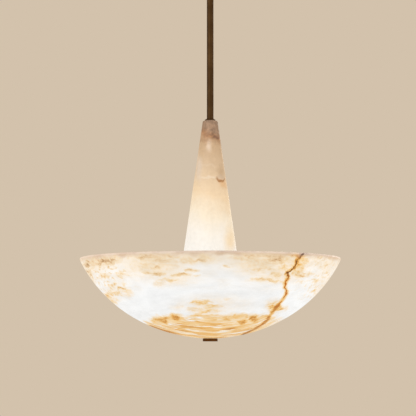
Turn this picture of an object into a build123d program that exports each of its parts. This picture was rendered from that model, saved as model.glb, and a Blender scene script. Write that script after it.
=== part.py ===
from build123d import *
import os
from math import asin, cos, degrees, radians, sin, sqrt

# Alabaster ceiling pendant: a shallow stone bowl and a tall stone cone hang on one bronze rod.
# The rod hangs from a ball swivel inside a ceiling canopy, runs down through the cone and carries
# a lamp hub; a stem under the hub carries the bowl, which a round finial holds from below.
# Millimetres, +Z up, origin on the ceiling plane at the rod's axis.

# Stone bowl
BOWL_RADIUS = 252.0            # outside, at the rim, before its edge is rounded
BOWL_DEPTH = 153.4             # rim plane to the lowest point of the stone
BOWL_WALL = 10.0
BOWL_FOOT_ARC = 292.0          # outside radius of the flatter curve around the foot
BOWL_FOOT_ANGLE = 30.0         # degrees of that curve, up from the lowest point
BOWL_RIM_ROUND = 3.5
BOWL_OUTER_SEAT_RADIUS = 15.7  # flat ground on the outside, under the finial
BOWL_INNER_SEAT_RADIUS = 26.0  # flat ground on the inside, under the washer
BOWL_SEAT_DEPTH = 0.5          # how far the outside flat is ground into the stone

# Stone cone
CONE_TOP_RADIUS = 14.5
CONE_FOOT_RADIUS = 54.7
CONE_HEIGHT = 277.6
CONE_WALL = 8.0
CONE_HEAD = 24.0               # solid stone at the top, around the rod
CONE_TOP_ROUND = 2.5
CONE_ABOVE_RIM = 265.6         # cone's top above the bowl's rim plane

# Hanging rod and its cap on the cone
ROD_RADIUS = 6.5
ROD_BORE_RADIUS = 4.2
ROD_DROP = 298.6               # bare rod between canopy and cone cap
CAP_RADIUS = 10.2
CAP_HEIGHT = 3.6
CAP_EDGE = 1.8                 # height of the cap's brim
CAP_NECK = 0.7                 # metal left around the rod at the cap's top
CAP_GASKET_THICKNESS = 0.6
CAP_GASKET_INSET = 0.6         # how far the gasket stays inside the brim

# Ceiling canopy and bracket
CANOPY_RADIUS = 60.0
CANOPY_WALL = 1.5
CANOPY_ROUND = 6.0
STRAP_THICKNESS = 2.0
STRAP_WIDTH = 24.0
STRAP_DROP = 9.0               # ceiling to the top of the sunk middle
STRAP_LAND_HALF = 20.0         # half length of the sunk middle
STRAP_JOGGLE = 6.0             # run of the slope between middle and feet
STRAP_TAB = 16.0               # height of the turned-down ends
SLOT_SPACING = 80.0
SLOT_WIDTH = 5.2
SLOT_LENGTH = 16.0
CANOPY_SCREW_RADIUS = 1.95
CANOPY_SCREW_HEAD_RADIUS = 4.2
CANOPY_SCREW_HEAD = 3.0
CANOPY_SCREW_DEPTH = 9.0       # ceiling to the screw's axis
SHELF_REACH = 44.0             # terminal shelf, from the axis to its outer end
SHELF_WIDTH = 30.0
BLOCK_WIDTH = 26.0             # terminal block
BLOCK_DEPTH = 17.0
BLOCK_HEIGHT = 13.0
BLOCK_ROUND = 1.0
BLOCK_POLES = 3
BLOCK_ENTRY_RADIUS = 1.7
BLOCK_SCREW_RADIUS = 1.9
WIRE_RADIUS = 1.0              # single wires from the block to the swivel
WIRE_PITCH = 2.3               # spacing of the wires inside the swivel's neck
WIRE_BLOCK_BEND = 3.0
WIRE_BEND = 5.0
WIRE_RUN = 4.0                 # block to the wires' way up through the shelf
WIRE_BITE = 3.0                # wire inside the block

# Swivel
BALL_RADIUS = 15.0
BALL_TOP = 11.0                # pivot to the ball's upper flat
BALL_FOOT = 13.0               # pivot to the ball's lower flat
BALL_SOCKET = 8.0              # depth of the rod's seat in the ball
BALL_CLEARANCE = 0.5           # ball to yoke and ball to canopy
CANOPY_SEAT_DROP = 9.5         # pivot to the inside of the canopy's floor
YOKE_CROWN = 4.0
YOKE_EAR = 3.0
YOKE_EAR_HALF_WIDTH = 6.5
YOKE_RIM = 2.0                 # crown beyond the ears
YOKE_NECK_RADIUS = 8.0
YOKE_NECK_BORE_RADIUS = 5.0
SWIVEL_NUT_FLATS = 24.0
SWIVEL_NUT_HEIGHT = 5.0
SWIVEL_WASHER_RADIUS = 14.0
SWIVEL_WASHER_THICKNESS = 0.5
TRUNNION_RADIUS = 3.0
TRUNNION_BITE = 8.0            # length of the trunnion inside the ball
TRUNNION_HEAD_RADIUS = 5.0
TRUNNION_HEAD = 2.5
TRUNNION_PLAY = 0.2            # ear to trunnion head

# Cone carrier and lamp hub
CONE_GASKET_THICKNESS = 1.5
CARRIER_THICKNESS = 3.0
CARRIER_LIP = 5.0              # upstand around the cone's foot
CARRIER_LIP_WALL = 1.8
CARRIER_RING_WIDTH = 10.0
CARRIER_CENTRE_RADIUS = 17.0
CARRIER_ARM_WIDTH = 10.0
LOCKNUT_FLATS = 22.0           # nut on the rod above the carrier
LOCKNUT_HEIGHT = 6.0
HUB_RADIUS = 20.0
HUB_FLAT = 18.0                # axis to the flat that a lamp holder seats on
HUB_CAVITY_RADIUS = 14.5
HUB_HEAD = 12.0                # solid top that the rod screws into
HUB_CAVITY = 24.0
HUB_CAP_THICKNESS = 4.0
HUB_CAP_SPIGOT = 3.0
HUB_SCREW_RADIUS = 1.45
HUB_SCREW_HEAD_RADIUS = 2.7
HUB_SCREW_HEAD = 1.6
HUB_SCREW_LENGTH = 9.0
ROD_BITE = 10.0                # rod inside the hub
CABLE_RADIUS = 3.5
CABLE_TAIL = 4.0               # cable past the rod's lower end
LEAD_RADIUS = 1.2
LEAD_BEND = 5.0

# Lamps, measured outwards from the hub's flat
LAMP_COUNT = 3
LAMP_FIRST_ANGLE = -90.0
NIPPLE_RADIUS = 5.0
NIPPLE_BORE_RADIUS = 3.2
HOLDER_RADIUS = 13.5
HOLDER_BACK_RADIUS = 8.5
HOLDER_BACK = 8.0              # thickness of the holder's back
HOLDER_LENGTH = 42.0
HOLDER_WALL = 2.0
HOLDER_LIP = 1.0               # height of the ring at the holder's mouth
HOLDER_LIP_LENGTH = 3.0
INSERT_LENGTH = 30.0
INSERT_FLOOR = 12.0            # ceramic behind the bulb
SHELL_RADIUS = 7.6             # brass thread shell, outside
SHELL_WALL = 0.45
CONTACT_RADIUS = 2.5
CONTACT_THICKNESS = 1.0
BULB_CAP_LENGTH = 21.0
BULB_CAP_RADIUS = 7.05
BULB_TIP_RADIUS = 2.4
BULB_NECK_LENGTH = 25.5
BULB_NECK_RADIUS = 8.6         # neck where it meets the cap
BULB_SHOULDER_RADIUS = 19.4    # neck where it meets the globe
BULB_SHOULDER = 1.5
LED_BOARD_RADIUS = 15.0
LED_BOARD_THICKNESS = 1.6
GLOBE_RADIUS = 22.5
GLOBE_WALL = 1.2

# Bowl suspension
STEM_RADIUS = 5.0
STEM_NUT_FLATS = 17.0
STEM_NUT_HEIGHT = 5.0
STEM_TIP = 1.0                 # stem past the nut inside the hub
BOWL_WASHER_RADIUS = 24.0
BOWL_WASHER_THICKNESS = 3.0
BOWL_GASKET_THICKNESS = 2.0
FINIAL_RADIUS = 14.2
FINIAL_HEIGHT = 5.3
FINIAL_ROUND = 0.6
FINIAL_SLEEVE_RADIUS = 8.0     # threaded sleeve that reaches up into the stone
FINIAL_SLEEVE = 8.0
FINIAL_FLOOR = 2.0             # metal left under the stem
FINIAL_GASKET_THICKNESS = 0.8

# Edges
NUT_CHAMFER_SLOPE = 0.577      # rise over run of a nut's corner chamfer
SCREW_HEAD_ROUND = 0.6
SMALL_ROUND = 0.5              # broken edges on washers, lips and caps

# Screwdriver slots
DRIVER_SLOT_WIDTH = 1.0
DRIVER_SLOT_DEPTH = 0.9

# Clearances
FIT = 0.05                     # radial, screwed and turning fits
LOOSE = 0.5                    # radial, metal through stone
PANEL_GAP = 0.3                # bracket to canopy

# Levels, from the ceiling down
land_top_z = -STRAP_DROP
land_bottom_z = land_top_z - STRAP_THICKNESS
crown_top_z = land_bottom_z - SWIVEL_WASHER_THICKNESS
crown_bottom_z = crown_top_z - YOKE_CROWN
pivot_z = crown_bottom_z - BALL_CLEARANCE - BALL_RADIUS
canopy_floor_z = pivot_z - CANOPY_SEAT_DROP
canopy_bottom_z = canopy_floor_z - CANOPY_WALL
rod_top_z = pivot_z - BALL_FOOT + BALL_SOCKET
cap_top_z = canopy_bottom_z - ROD_DROP
cap_bottom_z = cap_top_z - CAP_HEIGHT
cone_top_z = cap_bottom_z - CAP_GASKET_THICKNESS
cone_foot_z = cone_top_z - CONE_HEIGHT
carrier_top_z = cone_foot_z - CONE_GASKET_THICKNESS
hub_top_z = carrier_top_z - CARRIER_THICKNESS
cavity_top_z = hub_top_z - HUB_HEAD
lamp_z = cavity_top_z - HUB_CAVITY / 2
hub_cap_top_z = cavity_top_z - HUB_CAVITY
hub_cap_bottom_z = hub_cap_top_z - HUB_CAP_THICKNESS
rod_bottom_z = hub_top_z - ROD_BITE
rim_z = cone_top_z - CONE_ABOVE_RIM
bowl_foot_z = rim_z - BOWL_DEPTH
inner_seat_z = bowl_foot_z + BOWL_WALL
outer_seat_z = bowl_foot_z + BOWL_SEAT_DEPTH
bowl_washer_bottom_z = inner_seat_z + BOWL_GASKET_THICKNESS
bowl_nut_bottom_z = bowl_washer_bottom_z + BOWL_WASHER_THICKNESS
finial_top_z = outer_seat_z - FINIAL_GASKET_THICKNESS
finial_bottom_z = finial_top_z - FINIAL_HEIGHT
stem_bottom_z = finial_bottom_z + FINIAL_FLOOR
stem_nut_bottom_z = hub_cap_top_z + HUB_CAP_SPIGOT
stem_top_z = stem_nut_bottom_z + STEM_NUT_HEIGHT + STEM_TIP

# Radii and places that several pieces share
rod_seat_radius = ROD_RADIUS + FIT
cone_bore_radius = ROD_RADIUS + LOOSE
cone_slope = (CONE_FOOT_RADIUS - CONE_TOP_RADIUS) / CONE_HEIGHT
cone_wall_across = CONE_WALL * sqrt(1 + cone_slope ** 2)
cone_foot_inner_radius = CONE_FOOT_RADIUS - cone_wall_across
carrier_lip_inner_radius = CONE_FOOT_RADIUS + LOOSE
carrier_radius = carrier_lip_inner_radius + CARRIER_LIP_WALL
bowl_hole_radius = FINIAL_SLEEVE_RADIUS + LOOSE
stem_seat_radius = STEM_RADIUS + FIT
ear_inner_x = BALL_RADIUS + BALL_CLEARANCE
ear_outer_x = ear_inner_x + YOKE_EAR
canopy_inner_radius = CANOPY_RADIUS - CANOPY_WALL
canopy_hole_radius = sqrt(BALL_RADIUS ** 2 - CANOPY_SEAT_DROP ** 2) + BALL_CLEARANCE
tab_outer_x = sqrt(canopy_inner_radius ** 2 - (STRAP_WIDTH / 2) ** 2) - PANEL_GAP
lamp_angles = [LAMP_FIRST_ANGLE + 360.0 / LAMP_COUNT * n for n in range(LAMP_COUNT)]
arm_angles = [angle + 180.0 / LAMP_COUNT for angle in lamp_angles]
holder_back_u = HUB_FLAT
insert_back_u = holder_back_u + HOLDER_BACK
insert_floor_u = insert_back_u + INSERT_FLOOR
holder_mouth_u = holder_back_u + HOLDER_LENGTH
bulb_tip_u = insert_floor_u + CONTACT_THICKNESS
bulb_neck_u = bulb_tip_u + BULB_CAP_LENGTH
bulb_shoulder_u = bulb_neck_u + BULB_NECK_LENGTH


def rod_piece(radius, bottom, top):
    """A plain round bar on the Z axis."""
    bar = Cylinder(radius, top - bottom, align=(Align.CENTER, Align.CENTER, Align.MIN))
    return Pos(0, 0, bottom) * bar


def rod_at(x, y, radius, bottom, top):
    """A plain round bar along Z, through the given point."""
    return Pos(x, y, 0) * rod_piece(radius, bottom, top)


def ring(outer, inner, bottom, top):
    """A round bar with a through bore, on the Z axis."""
    return rod_piece(outer, bottom, top) - rod_piece(inner, bottom, top)


def hex_nut(flats, bore, bottom, top):
    """A hexagon nut on the Z axis, its corners turned off at both faces."""
    corner = flats / sqrt(3)
    turned_off = (corner - flats / 2) * NUT_CHAMFER_SLOPE
    nut = extrude(Pos(0, 0, bottom) * RegularPolygon(corner, 6), top - bottom)
    nut &= turned(
        (bore, bottom),
        (flats / 2, bottom),
        (corner, bottom + turned_off),
        (corner, top - turned_off),
        (flats / 2, top),
        (bore, top),
    )
    return nut


def turned(*points):
    """A solid turned about Z from an outline of (radius, height) points."""
    return revolve(Plane.XZ * make_face(Polyline(*points, close=True)), Axis.Z)


def along_lamp(angle, piece):
    """Lays a piece that was made along +Z, from the hub's axis, out along one lamp's axis."""
    return Pos(0, 0, lamp_z) * Rot(0, 0, angle) * Rot(0, 90, 0) * piece


def across(x, y, z, radius, length):
    """A round bar along X, centred on the given point."""
    return Pos(x, y, z) * Rot(0, 90, 0) * Cylinder(radius, length)


def side_driver_slot(side, face_x, z, head_radius):
    """Cutter for the slot in a screw head that faces out along X."""
    slot = Box(DRIVER_SLOT_DEPTH, 2 * head_radius, DRIVER_SLOT_WIDTH)
    return Pos(side * (face_x - DRIVER_SLOT_DEPTH / 2), 0, z) * slot


def bottom_driver_slot(x, y, face_z, head_radius):
    """Cutter for the slot in a screw head that faces down."""
    slot = Box(2 * head_radius, DRIVER_SLOT_WIDTH, DRIVER_SLOT_DEPTH)
    return Pos(x, y, face_z + DRIVER_SLOT_DEPTH / 2) * slot


def side_screw_head(side, seat_x, z, radius, height):
    """Round head with a slot, facing out along X, its outer edge rounded."""
    head = across(side * (seat_x + height / 2), 0, z, radius, height)
    rims = head.edges().filter_by(GeomType.CIRCLE).sort_by(Axis.X)
    outer_rim = rims[-1] if side > 0 else rims[0]
    head = fillet(outer_rim, SCREW_HEAD_ROUND)
    return head - side_driver_slot(side, seat_x + height, z, radius)


def swept(points, bends, radius):
    """A round lead along straight runs that are joined by arcs of the given radius or radii."""
    path = FilletPolyline(*points, radius=bends)
    return sweep(Plane(path @ 0, z_dir=path % 0) * Circle(radius), path)


def bowl_side_arc():
    """Centre and radius, in (radius, height), of the outside curve from the foot curve to the rim."""
    foot_centre = Vector(0, bowl_foot_z + BOWL_FOOT_ARC)
    inward = Vector(-sin(radians(BOWL_FOOT_ANGLE)), cos(radians(BOWL_FOOT_ANGLE)))
    joint = foot_centre - inward * BOWL_FOOT_ARC
    to_rim = Vector(BOWL_RADIUS, rim_z) - joint
    radius = to_rim.dot(to_rim) / (2 * inward.dot(to_rim))
    return joint + inward * radius, radius


def bowl_curve(inset):
    """The bowl's section curve from the axis to the rim plane, set in from the outside by inset."""
    side_centre, side_radius = bowl_side_arc()
    foot_centre = (0, bowl_foot_z + BOWL_FOOT_ARC)
    joint_angle = BOWL_FOOT_ANGLE - 90
    rim_angle = degrees(asin((rim_z - side_centre.Y) / (side_radius - inset)))
    foot = CenterArc(foot_centre, BOWL_FOOT_ARC - inset, -90, BOWL_FOOT_ANGLE)
    side_sweep = rim_angle - joint_angle
    side = CenterArc((side_centre.X, side_centre.Y), side_radius - inset, joint_angle, side_sweep)
    return foot, side


def alabaster_bowl():
    outer_foot, outer_side = bowl_curve(0)
    inner_foot, inner_side = bowl_curve(BOWL_WALL)
    rim = Line(outer_side @ 1, inner_side @ 1)
    axis = Line(outer_foot @ 0, inner_foot @ 0)
    section = make_face([outer_foot, outer_side, rim, inner_side, inner_foot, axis])
    bowl = revolve(Plane.XZ * section, Axis.Z)
    rim_edges = bowl.edges().filter_by(GeomType.CIRCLE).group_by(Axis.Z)[-1]
    bowl = fillet(rim_edges, BOWL_RIM_ROUND)
    bowl -= rod_piece(BOWL_INNER_SEAT_RADIUS, inner_seat_z, inner_seat_z + BOWL_WALL)
    bowl -= rod_piece(BOWL_OUTER_SEAT_RADIUS, outer_seat_z - BOWL_WALL, outer_seat_z)
    return bowl - rod_piece(bowl_hole_radius, bowl_foot_z - BOWL_WALL, inner_seat_z + BOWL_WALL)


def alabaster_cone():
    head_z = cone_top_z - CONE_HEAD
    head_inner_radius = CONE_TOP_RADIUS + CONE_HEAD * cone_slope - cone_wall_across
    cone = turned(
        (cone_bore_radius, cone_top_z),
        (CONE_TOP_RADIUS, cone_top_z),
        (CONE_FOOT_RADIUS, cone_foot_z),
        (cone_foot_inner_radius, cone_foot_z),
        (head_inner_radius, head_z),
        (cone_bore_radius, head_z),
    )
    top_edges = cone.edges().filter_by(GeomType.CIRCLE).group_by(Axis.Z)[-1]
    return fillet(top_edges.sort_by(SortBy.RADIUS)[-1], CONE_TOP_ROUND)


def hanging_rod():
    return ring(ROD_RADIUS, ROD_BORE_RADIUS, rod_bottom_z, rod_top_z)


def cone_cap():
    """Flared trim on the cone's top: an upright brim, and a hollow curve that sweeps up to the rod."""
    neck = rod_seat_radius + CAP_NECK
    edge_z = cap_bottom_z + CAP_EDGE
    hollow = EllipticalCenterArc(
        (CAP_RADIUS, cap_top_z), CAP_RADIUS - neck, cap_top_z - edge_z, 270, arc_size=-90
    )
    outline = [
        Line((rod_seat_radius, cap_bottom_z), (CAP_RADIUS, cap_bottom_z)),
        Line((CAP_RADIUS, cap_bottom_z), (CAP_RADIUS, edge_z)),
        hollow,
        Line((neck, cap_top_z), (rod_seat_radius, cap_top_z)),
        Line((rod_seat_radius, cap_top_z), (rod_seat_radius, cap_bottom_z)),
    ]
    return revolve(Plane.XZ * make_face(outline), Axis.Z)


def cone_cap_gasket():
    return ring(CAP_RADIUS - CAP_GASKET_INSET, rod_seat_radius, cone_top_z, cap_bottom_z)


def ceiling_bracket():
    """Joggled strap: feet on the ceiling, sunk middle for the swivel, turned-down ends for the canopy."""
    foot_x = STRAP_LAND_HALF + STRAP_JOGGLE
    top_line = [
        (-tab_outer_x, -STRAP_TAB),
        (-tab_outer_x, 0),
        (-foot_x, 0),
        (-STRAP_LAND_HALF, land_top_z),
        (STRAP_LAND_HALF, land_top_z),
        (foot_x, 0),
        (tab_outer_x, 0),
        (tab_outer_x, -STRAP_TAB),
    ]
    tab_inner_x = tab_outer_x - STRAP_THICKNESS
    bottom_line = [
        (tab_inner_x, -STRAP_TAB),
        (tab_inner_x, -STRAP_THICKNESS),
        (foot_x - STRAP_THICKNESS / 2, -STRAP_THICKNESS),
        (STRAP_LAND_HALF - STRAP_THICKNESS / 2, land_bottom_z),
    ]
    mirrored = [(-x, z) for x, z in reversed(bottom_line)]
    section = Plane.XZ * make_face(Polyline(*top_line, *bottom_line, *mirrored, close=True))
    strap = extrude(section, STRAP_WIDTH / 2, both=True)
    strap += Pos(0, SHELF_REACH / 2, land_bottom_z + STRAP_THICKNESS / 2) * Box(
        SHELF_WIDTH, SHELF_REACH, STRAP_THICKNESS
    )
    strap -= rod_piece(YOKE_NECK_RADIUS + FIT, land_bottom_z, land_top_z)
    strap -= Pos(0, wire_window_y(), land_bottom_z + STRAP_THICKNESS / 2) * Box(
        BLOCK_WIDTH - 2 * STRAP_THICKNESS, 4 * WIRE_RADIUS, STRAP_THICKNESS
    )
    slot = SlotOverall(SLOT_LENGTH, SLOT_WIDTH)
    for side in (-1, 1):
        strap -= extrude(Pos(side * SLOT_SPACING / 2, 0, -STRAP_THICKNESS) * slot, STRAP_THICKNESS)
        strap -= across(
            side * tab_outer_x, 0, -CANOPY_SCREW_DEPTH, CANOPY_SCREW_RADIUS + FIT, 4 * STRAP_THICKNESS
        )
    return strap


def canopy():
    """Spun cup with a rounded lower edge and a round hole that the swivel ball fills."""
    cup = rod_piece(CANOPY_RADIUS, canopy_bottom_z, 0)
    cup = fillet(cup.edges().filter_by(GeomType.CIRCLE).group_by(Axis.Z)[0], CANOPY_ROUND)
    hollow = rod_piece(canopy_inner_radius, canopy_floor_z, 0)
    hollow_edges = hollow.edges().filter_by(GeomType.CIRCLE).group_by(Axis.Z)[0]
    cup -= fillet(hollow_edges, CANOPY_ROUND - CANOPY_WALL)
    cup -= rod_piece(canopy_hole_radius, canopy_bottom_z, canopy_floor_z)
    hole_length = 2 * (CANOPY_RADIUS + CANOPY_WALL)
    return cup - across(0, 0, -CANOPY_SCREW_DEPTH, CANOPY_SCREW_RADIUS + FIT, hole_length)


def canopy_screws():
    screws = []
    shank = CANOPY_RADIUS - tab_outer_x + 2 * STRAP_THICKNESS
    for side in (-1, 1):
        shank_x = side * (CANOPY_RADIUS - shank / 2)
        screw = across(shank_x, 0, -CANOPY_SCREW_DEPTH, CANOPY_SCREW_RADIUS, shank)
        screw += side_screw_head(
            side, CANOPY_RADIUS, -CANOPY_SCREW_DEPTH, CANOPY_SCREW_HEAD_RADIUS, CANOPY_SCREW_HEAD
        )
        screws.append(screw)
    return screws


def block_centre():
    """Depth and height of the terminal block's middle."""
    return SHELF_REACH - BLOCK_DEPTH / 2, land_bottom_z - BLOCK_HEIGHT / 2


def block_pole_x():
    """Sideways places of the block's poles."""
    pitch = BLOCK_WIDTH / BLOCK_POLES
    return [pitch * (n - (BLOCK_POLES - 1) / 2) for n in range(BLOCK_POLES)]


def terminal_block():
    """Moulded block under the bracket's shelf, with a wire entry and a clamp screw well for each pole."""
    y, z = block_centre()
    block = Pos(0, y, z) * Box(BLOCK_WIDTH, BLOCK_DEPTH, BLOCK_HEIGHT)
    block = fillet(block.edges().filter_by(Axis.Z), BLOCK_ROUND)
    for x in block_pole_x():
        block -= Pos(x, y, z) * Rot(90, 0, 0) * Cylinder(BLOCK_ENTRY_RADIUS, BLOCK_DEPTH)
        block -= rod_at(x, y, BLOCK_SCREW_RADIUS + FIT, z - BLOCK_HEIGHT / 2, z - BLOCK_ENTRY_RADIUS)
    return block


def wire_window_y():
    """Where the wires pass up through the bracket's shelf."""
    return SHELF_REACH - BLOCK_DEPTH - WIRE_RUN


def terminal_wires():
    """Wires from the block, up through the shelf's window and down into the swivel's hollow neck."""
    y, z = block_centre()
    start_y = SHELF_REACH - BLOCK_DEPTH + WIRE_BITE
    over_z = -2 * WIRE_RADIUS
    wires = []
    for number, x in enumerate(block_pole_x()):
        neck_x = WIRE_PITCH * (number - (BLOCK_POLES - 1) / 2)
        points = [
            (x, start_y, z),
            (x, wire_window_y(), z),
            (x, wire_window_y(), over_z),
            (neck_x, 0, over_z),
            (neck_x, 0, crown_bottom_z),
        ]
        wires.append(swept(points, (WIRE_BLOCK_BEND, WIRE_BEND, WIRE_BEND), WIRE_RADIUS))
    return wires


def terminal_screws():
    y, z = block_centre()
    top = z - BLOCK_ENTRY_RADIUS
    bottom = top - BLOCK_HEIGHT / 4
    screws = []
    for x in block_pole_x():
        screw = rod_at(x, y, BLOCK_SCREW_RADIUS, bottom, top)
        screws.append(screw - bottom_driver_slot(x, y, bottom, BLOCK_SCREW_RADIUS))
    return screws


def swivel_yoke():
    """Fork that turns in the bracket: a hollow neck, a round crown and two ears for the trunnions."""
    yoke = rod_piece(ear_outer_x + YOKE_RIM, crown_bottom_z, crown_top_z)
    yoke += rod_piece(YOKE_NECK_RADIUS, crown_top_z, land_top_z + SWIVEL_NUT_HEIGHT)
    drop = crown_bottom_z - pivot_z
    ear_x = (ear_inner_x + ear_outer_x) / 2
    for side in (-1, 1):
        yoke += Pos(side * ear_x, 0, pivot_z + drop / 2) * Box(YOKE_EAR, 2 * YOKE_EAR_HALF_WIDTH, drop)
        yoke += across(side * ear_x, 0, pivot_z, YOKE_EAR_HALF_WIDTH, YOKE_EAR)
    yoke -= across(0, 0, pivot_z, TRUNNION_RADIUS + FIT, 2 * (ear_outer_x + YOKE_RIM))
    return yoke - rod_piece(YOKE_NECK_BORE_RADIUS, crown_bottom_z, land_top_z + SWIVEL_NUT_HEIGHT)


def swivel_nut():
    return hex_nut(SWIVEL_NUT_FLATS, YOKE_NECK_RADIUS + FIT, land_top_z, land_top_z + SWIVEL_NUT_HEIGHT)


def swivel_washer():
    return ring(SWIVEL_WASHER_RADIUS, YOKE_NECK_RADIUS + FIT, crown_top_z, land_bottom_z)


def swivel_ball():
    ball = Pos(0, 0, pivot_z) * Sphere(BALL_RADIUS)
    ball &= rod_piece(BALL_RADIUS, pivot_z - BALL_FOOT, pivot_z + BALL_TOP)
    ball -= rod_piece(rod_seat_radius, pivot_z - BALL_FOOT, rod_top_z)
    ball -= rod_piece(ROD_BORE_RADIUS, rod_top_z, pivot_z + BALL_TOP)
    for side in (-1, 1):
        bite_x = side * (BALL_RADIUS - TRUNNION_BITE / 2)
        ball -= across(bite_x, 0, pivot_z, TRUNNION_RADIUS + FIT, TRUNNION_BITE)
    return ball


def swivel_trunnions():
    """Shoulder screws through the yoke's ears into the ball."""
    inner_x = BALL_RADIUS - TRUNNION_BITE
    head_x = ear_outer_x + TRUNNION_PLAY
    screws = []
    for side in (-1, 1):
        screw = across(side * (inner_x + head_x) / 2, 0, pivot_z, TRUNNION_RADIUS, head_x - inner_x)
        screw += side_screw_head(side, head_x, pivot_z, TRUNNION_HEAD_RADIUS, TRUNNION_HEAD)
        screws.append(screw)
    return screws


def cone_gasket():
    return ring(CONE_FOOT_RADIUS, cone_foot_inner_radius, carrier_top_z, cone_foot_z)


def cone_carrier():
    """Three-armed tray under the cone: open between its arms, so that light goes up into the stone."""
    ring_inner_radius = carrier_radius - CARRIER_RING_WIDTH
    carrier = ring(carrier_radius, ring_inner_radius, hub_top_z, carrier_top_z)
    carrier += ring(carrier_radius, carrier_lip_inner_radius, carrier_top_z, carrier_top_z + CARRIER_LIP)
    lip_edges = carrier.edges().filter_by(GeomType.CIRCLE).group_by(Axis.Z)[-1]
    carrier = fillet(lip_edges, SMALL_ROUND)
    carrier += rod_piece(CARRIER_CENTRE_RADIUS, hub_top_z, carrier_top_z)
    reach = ring_inner_radius + CARRIER_RING_WIDTH / 2
    arm = Pos(reach / 2, 0, (hub_top_z + carrier_top_z) / 2) * Box(
        reach, CARRIER_ARM_WIDTH, CARRIER_THICKNESS
    )
    for angle in arm_angles:
        carrier += Rot(0, 0, angle) * arm
    return carrier - rod_piece(rod_seat_radius, hub_top_z, carrier_top_z)


def carrier_locknut():
    return hex_nut(LOCKNUT_FLATS, rod_seat_radius, carrier_top_z, carrier_top_z + LOCKNUT_HEIGHT)


def hub_screw_radius():
    """Distance of the cap screws from the axis: the middle of the hub's wall."""
    return (HUB_RADIUS + HUB_CAVITY_RADIUS) / 2


def lamp_hub():
    hub = rod_piece(HUB_RADIUS, hub_cap_top_z, hub_top_z)
    hub -= rod_piece(HUB_CAVITY_RADIUS, hub_cap_top_z, cavity_top_z)
    hub -= rod_piece(rod_seat_radius, cavity_top_z, hub_top_z)
    height = hub_top_z - hub_cap_top_z
    flat = Pos(HUB_FLAT + HUB_RADIUS / 2, 0, hub_cap_top_z + height / 2) * Box(
        HUB_RADIUS, 2 * HUB_RADIUS, height
    )
    for angle in lamp_angles:
        hub -= Rot(0, 0, angle) * flat
        hub -= along_lamp(angle, rod_piece(NIPPLE_RADIUS + FIT, HUB_CAVITY_RADIUS / 2, HUB_RADIUS))
    depth = HUB_SCREW_LENGTH - HUB_CAP_THICKNESS
    for angle in arm_angles:
        hub -= Rot(0, 0, angle) * rod_at(
            hub_screw_radius(), 0, HUB_SCREW_RADIUS + FIT, hub_cap_top_z, hub_cap_top_z + depth
        )
    return hub


def hub_cap():
    cap = rod_piece(HUB_RADIUS, hub_cap_bottom_z, hub_cap_top_z)
    cap = fillet(cap.edges().filter_by(GeomType.CIRCLE).group_by(Axis.Z)[0], SMALL_ROUND)
    cap += rod_piece(HUB_CAVITY_RADIUS - FIT, hub_cap_top_z, hub_cap_top_z + HUB_CAP_SPIGOT)
    for angle in arm_angles:
        cap -= Rot(0, 0, angle) * rod_at(
            hub_screw_radius(), 0, HUB_SCREW_RADIUS + FIT, hub_cap_bottom_z, hub_cap_top_z
        )
    return cap - rod_piece(stem_seat_radius, hub_cap_bottom_z, hub_cap_top_z + HUB_CAP_SPIGOT)


def hub_cap_screws():
    x = hub_screw_radius()
    head_z = hub_cap_bottom_z - HUB_SCREW_HEAD
    screw = rod_at(x, 0, HUB_SCREW_RADIUS, hub_cap_bottom_z, hub_cap_bottom_z + HUB_SCREW_LENGTH)
    screw += rod_at(x, 0, HUB_SCREW_HEAD_RADIUS, head_z, hub_cap_bottom_z)
    screw -= bottom_driver_slot(x, 0, head_z, HUB_SCREW_HEAD_RADIUS)
    return [Rot(0, 0, angle) * screw for angle in arm_angles]


def supply_cable():
    return rod_piece(CABLE_RADIUS, rod_bottom_z - CABLE_TAIL, pivot_z + BALL_TOP)


def lamp_leads():
    """One lead to each lamp holder, out of the cable's end and through the holder's nipple."""
    start_z = rod_bottom_z - CABLE_TAIL
    start_u = CABLE_RADIUS - LEAD_RADIUS
    leads = []
    for angle in lamp_angles:
        points = [(start_u, 0, start_z), (start_u, 0, lamp_z), (insert_back_u, 0, lamp_z)]
        leads.append(Rot(0, 0, angle) * swept(points, LEAD_BEND, LEAD_RADIUS))
    return leads


def lamp_nipple():
    return ring(NIPPLE_RADIUS, NIPPLE_BORE_RADIUS, HUB_CAVITY_RADIUS, insert_back_u)


def lamp_holder():
    lip_u = holder_mouth_u - HOLDER_LIP_LENGTH
    inner_radius = HOLDER_RADIUS - HOLDER_WALL
    holder = turned(
        (NIPPLE_RADIUS + FIT, holder_back_u),
        (HOLDER_BACK_RADIUS, holder_back_u),
        (HOLDER_BACK_RADIUS, holder_back_u + HOLDER_WALL),
        (HOLDER_RADIUS, insert_back_u),
        (HOLDER_RADIUS, lip_u),
        (HOLDER_RADIUS + HOLDER_LIP, lip_u),
        (HOLDER_RADIUS + HOLDER_LIP, holder_mouth_u),
        (inner_radius, holder_mouth_u),
        (inner_radius, insert_back_u),
        (NIPPLE_RADIUS + FIT, insert_back_u),
    )
    return fillet(holder.edges().filter_by(GeomType.CIRCLE).group_by(Axis.Z)[-1], SMALL_ROUND)


def holder_insert():
    """Ceramic core of the holder: a floor behind the bulb and a wall around the thread shell."""
    radius = HOLDER_RADIUS - HOLDER_WALL - FIT
    core = rod_piece(radius, insert_back_u, insert_back_u + INSERT_LENGTH)
    return core - rod_piece(SHELL_RADIUS + FIT, insert_floor_u, insert_back_u + INSERT_LENGTH)


def thread_shell():
    return ring(SHELL_RADIUS, SHELL_RADIUS - SHELL_WALL, insert_floor_u, insert_back_u + INSERT_LENGTH)


def centre_contact():
    return rod_piece(CONTACT_RADIUS, insert_floor_u, bulb_tip_u)


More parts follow.
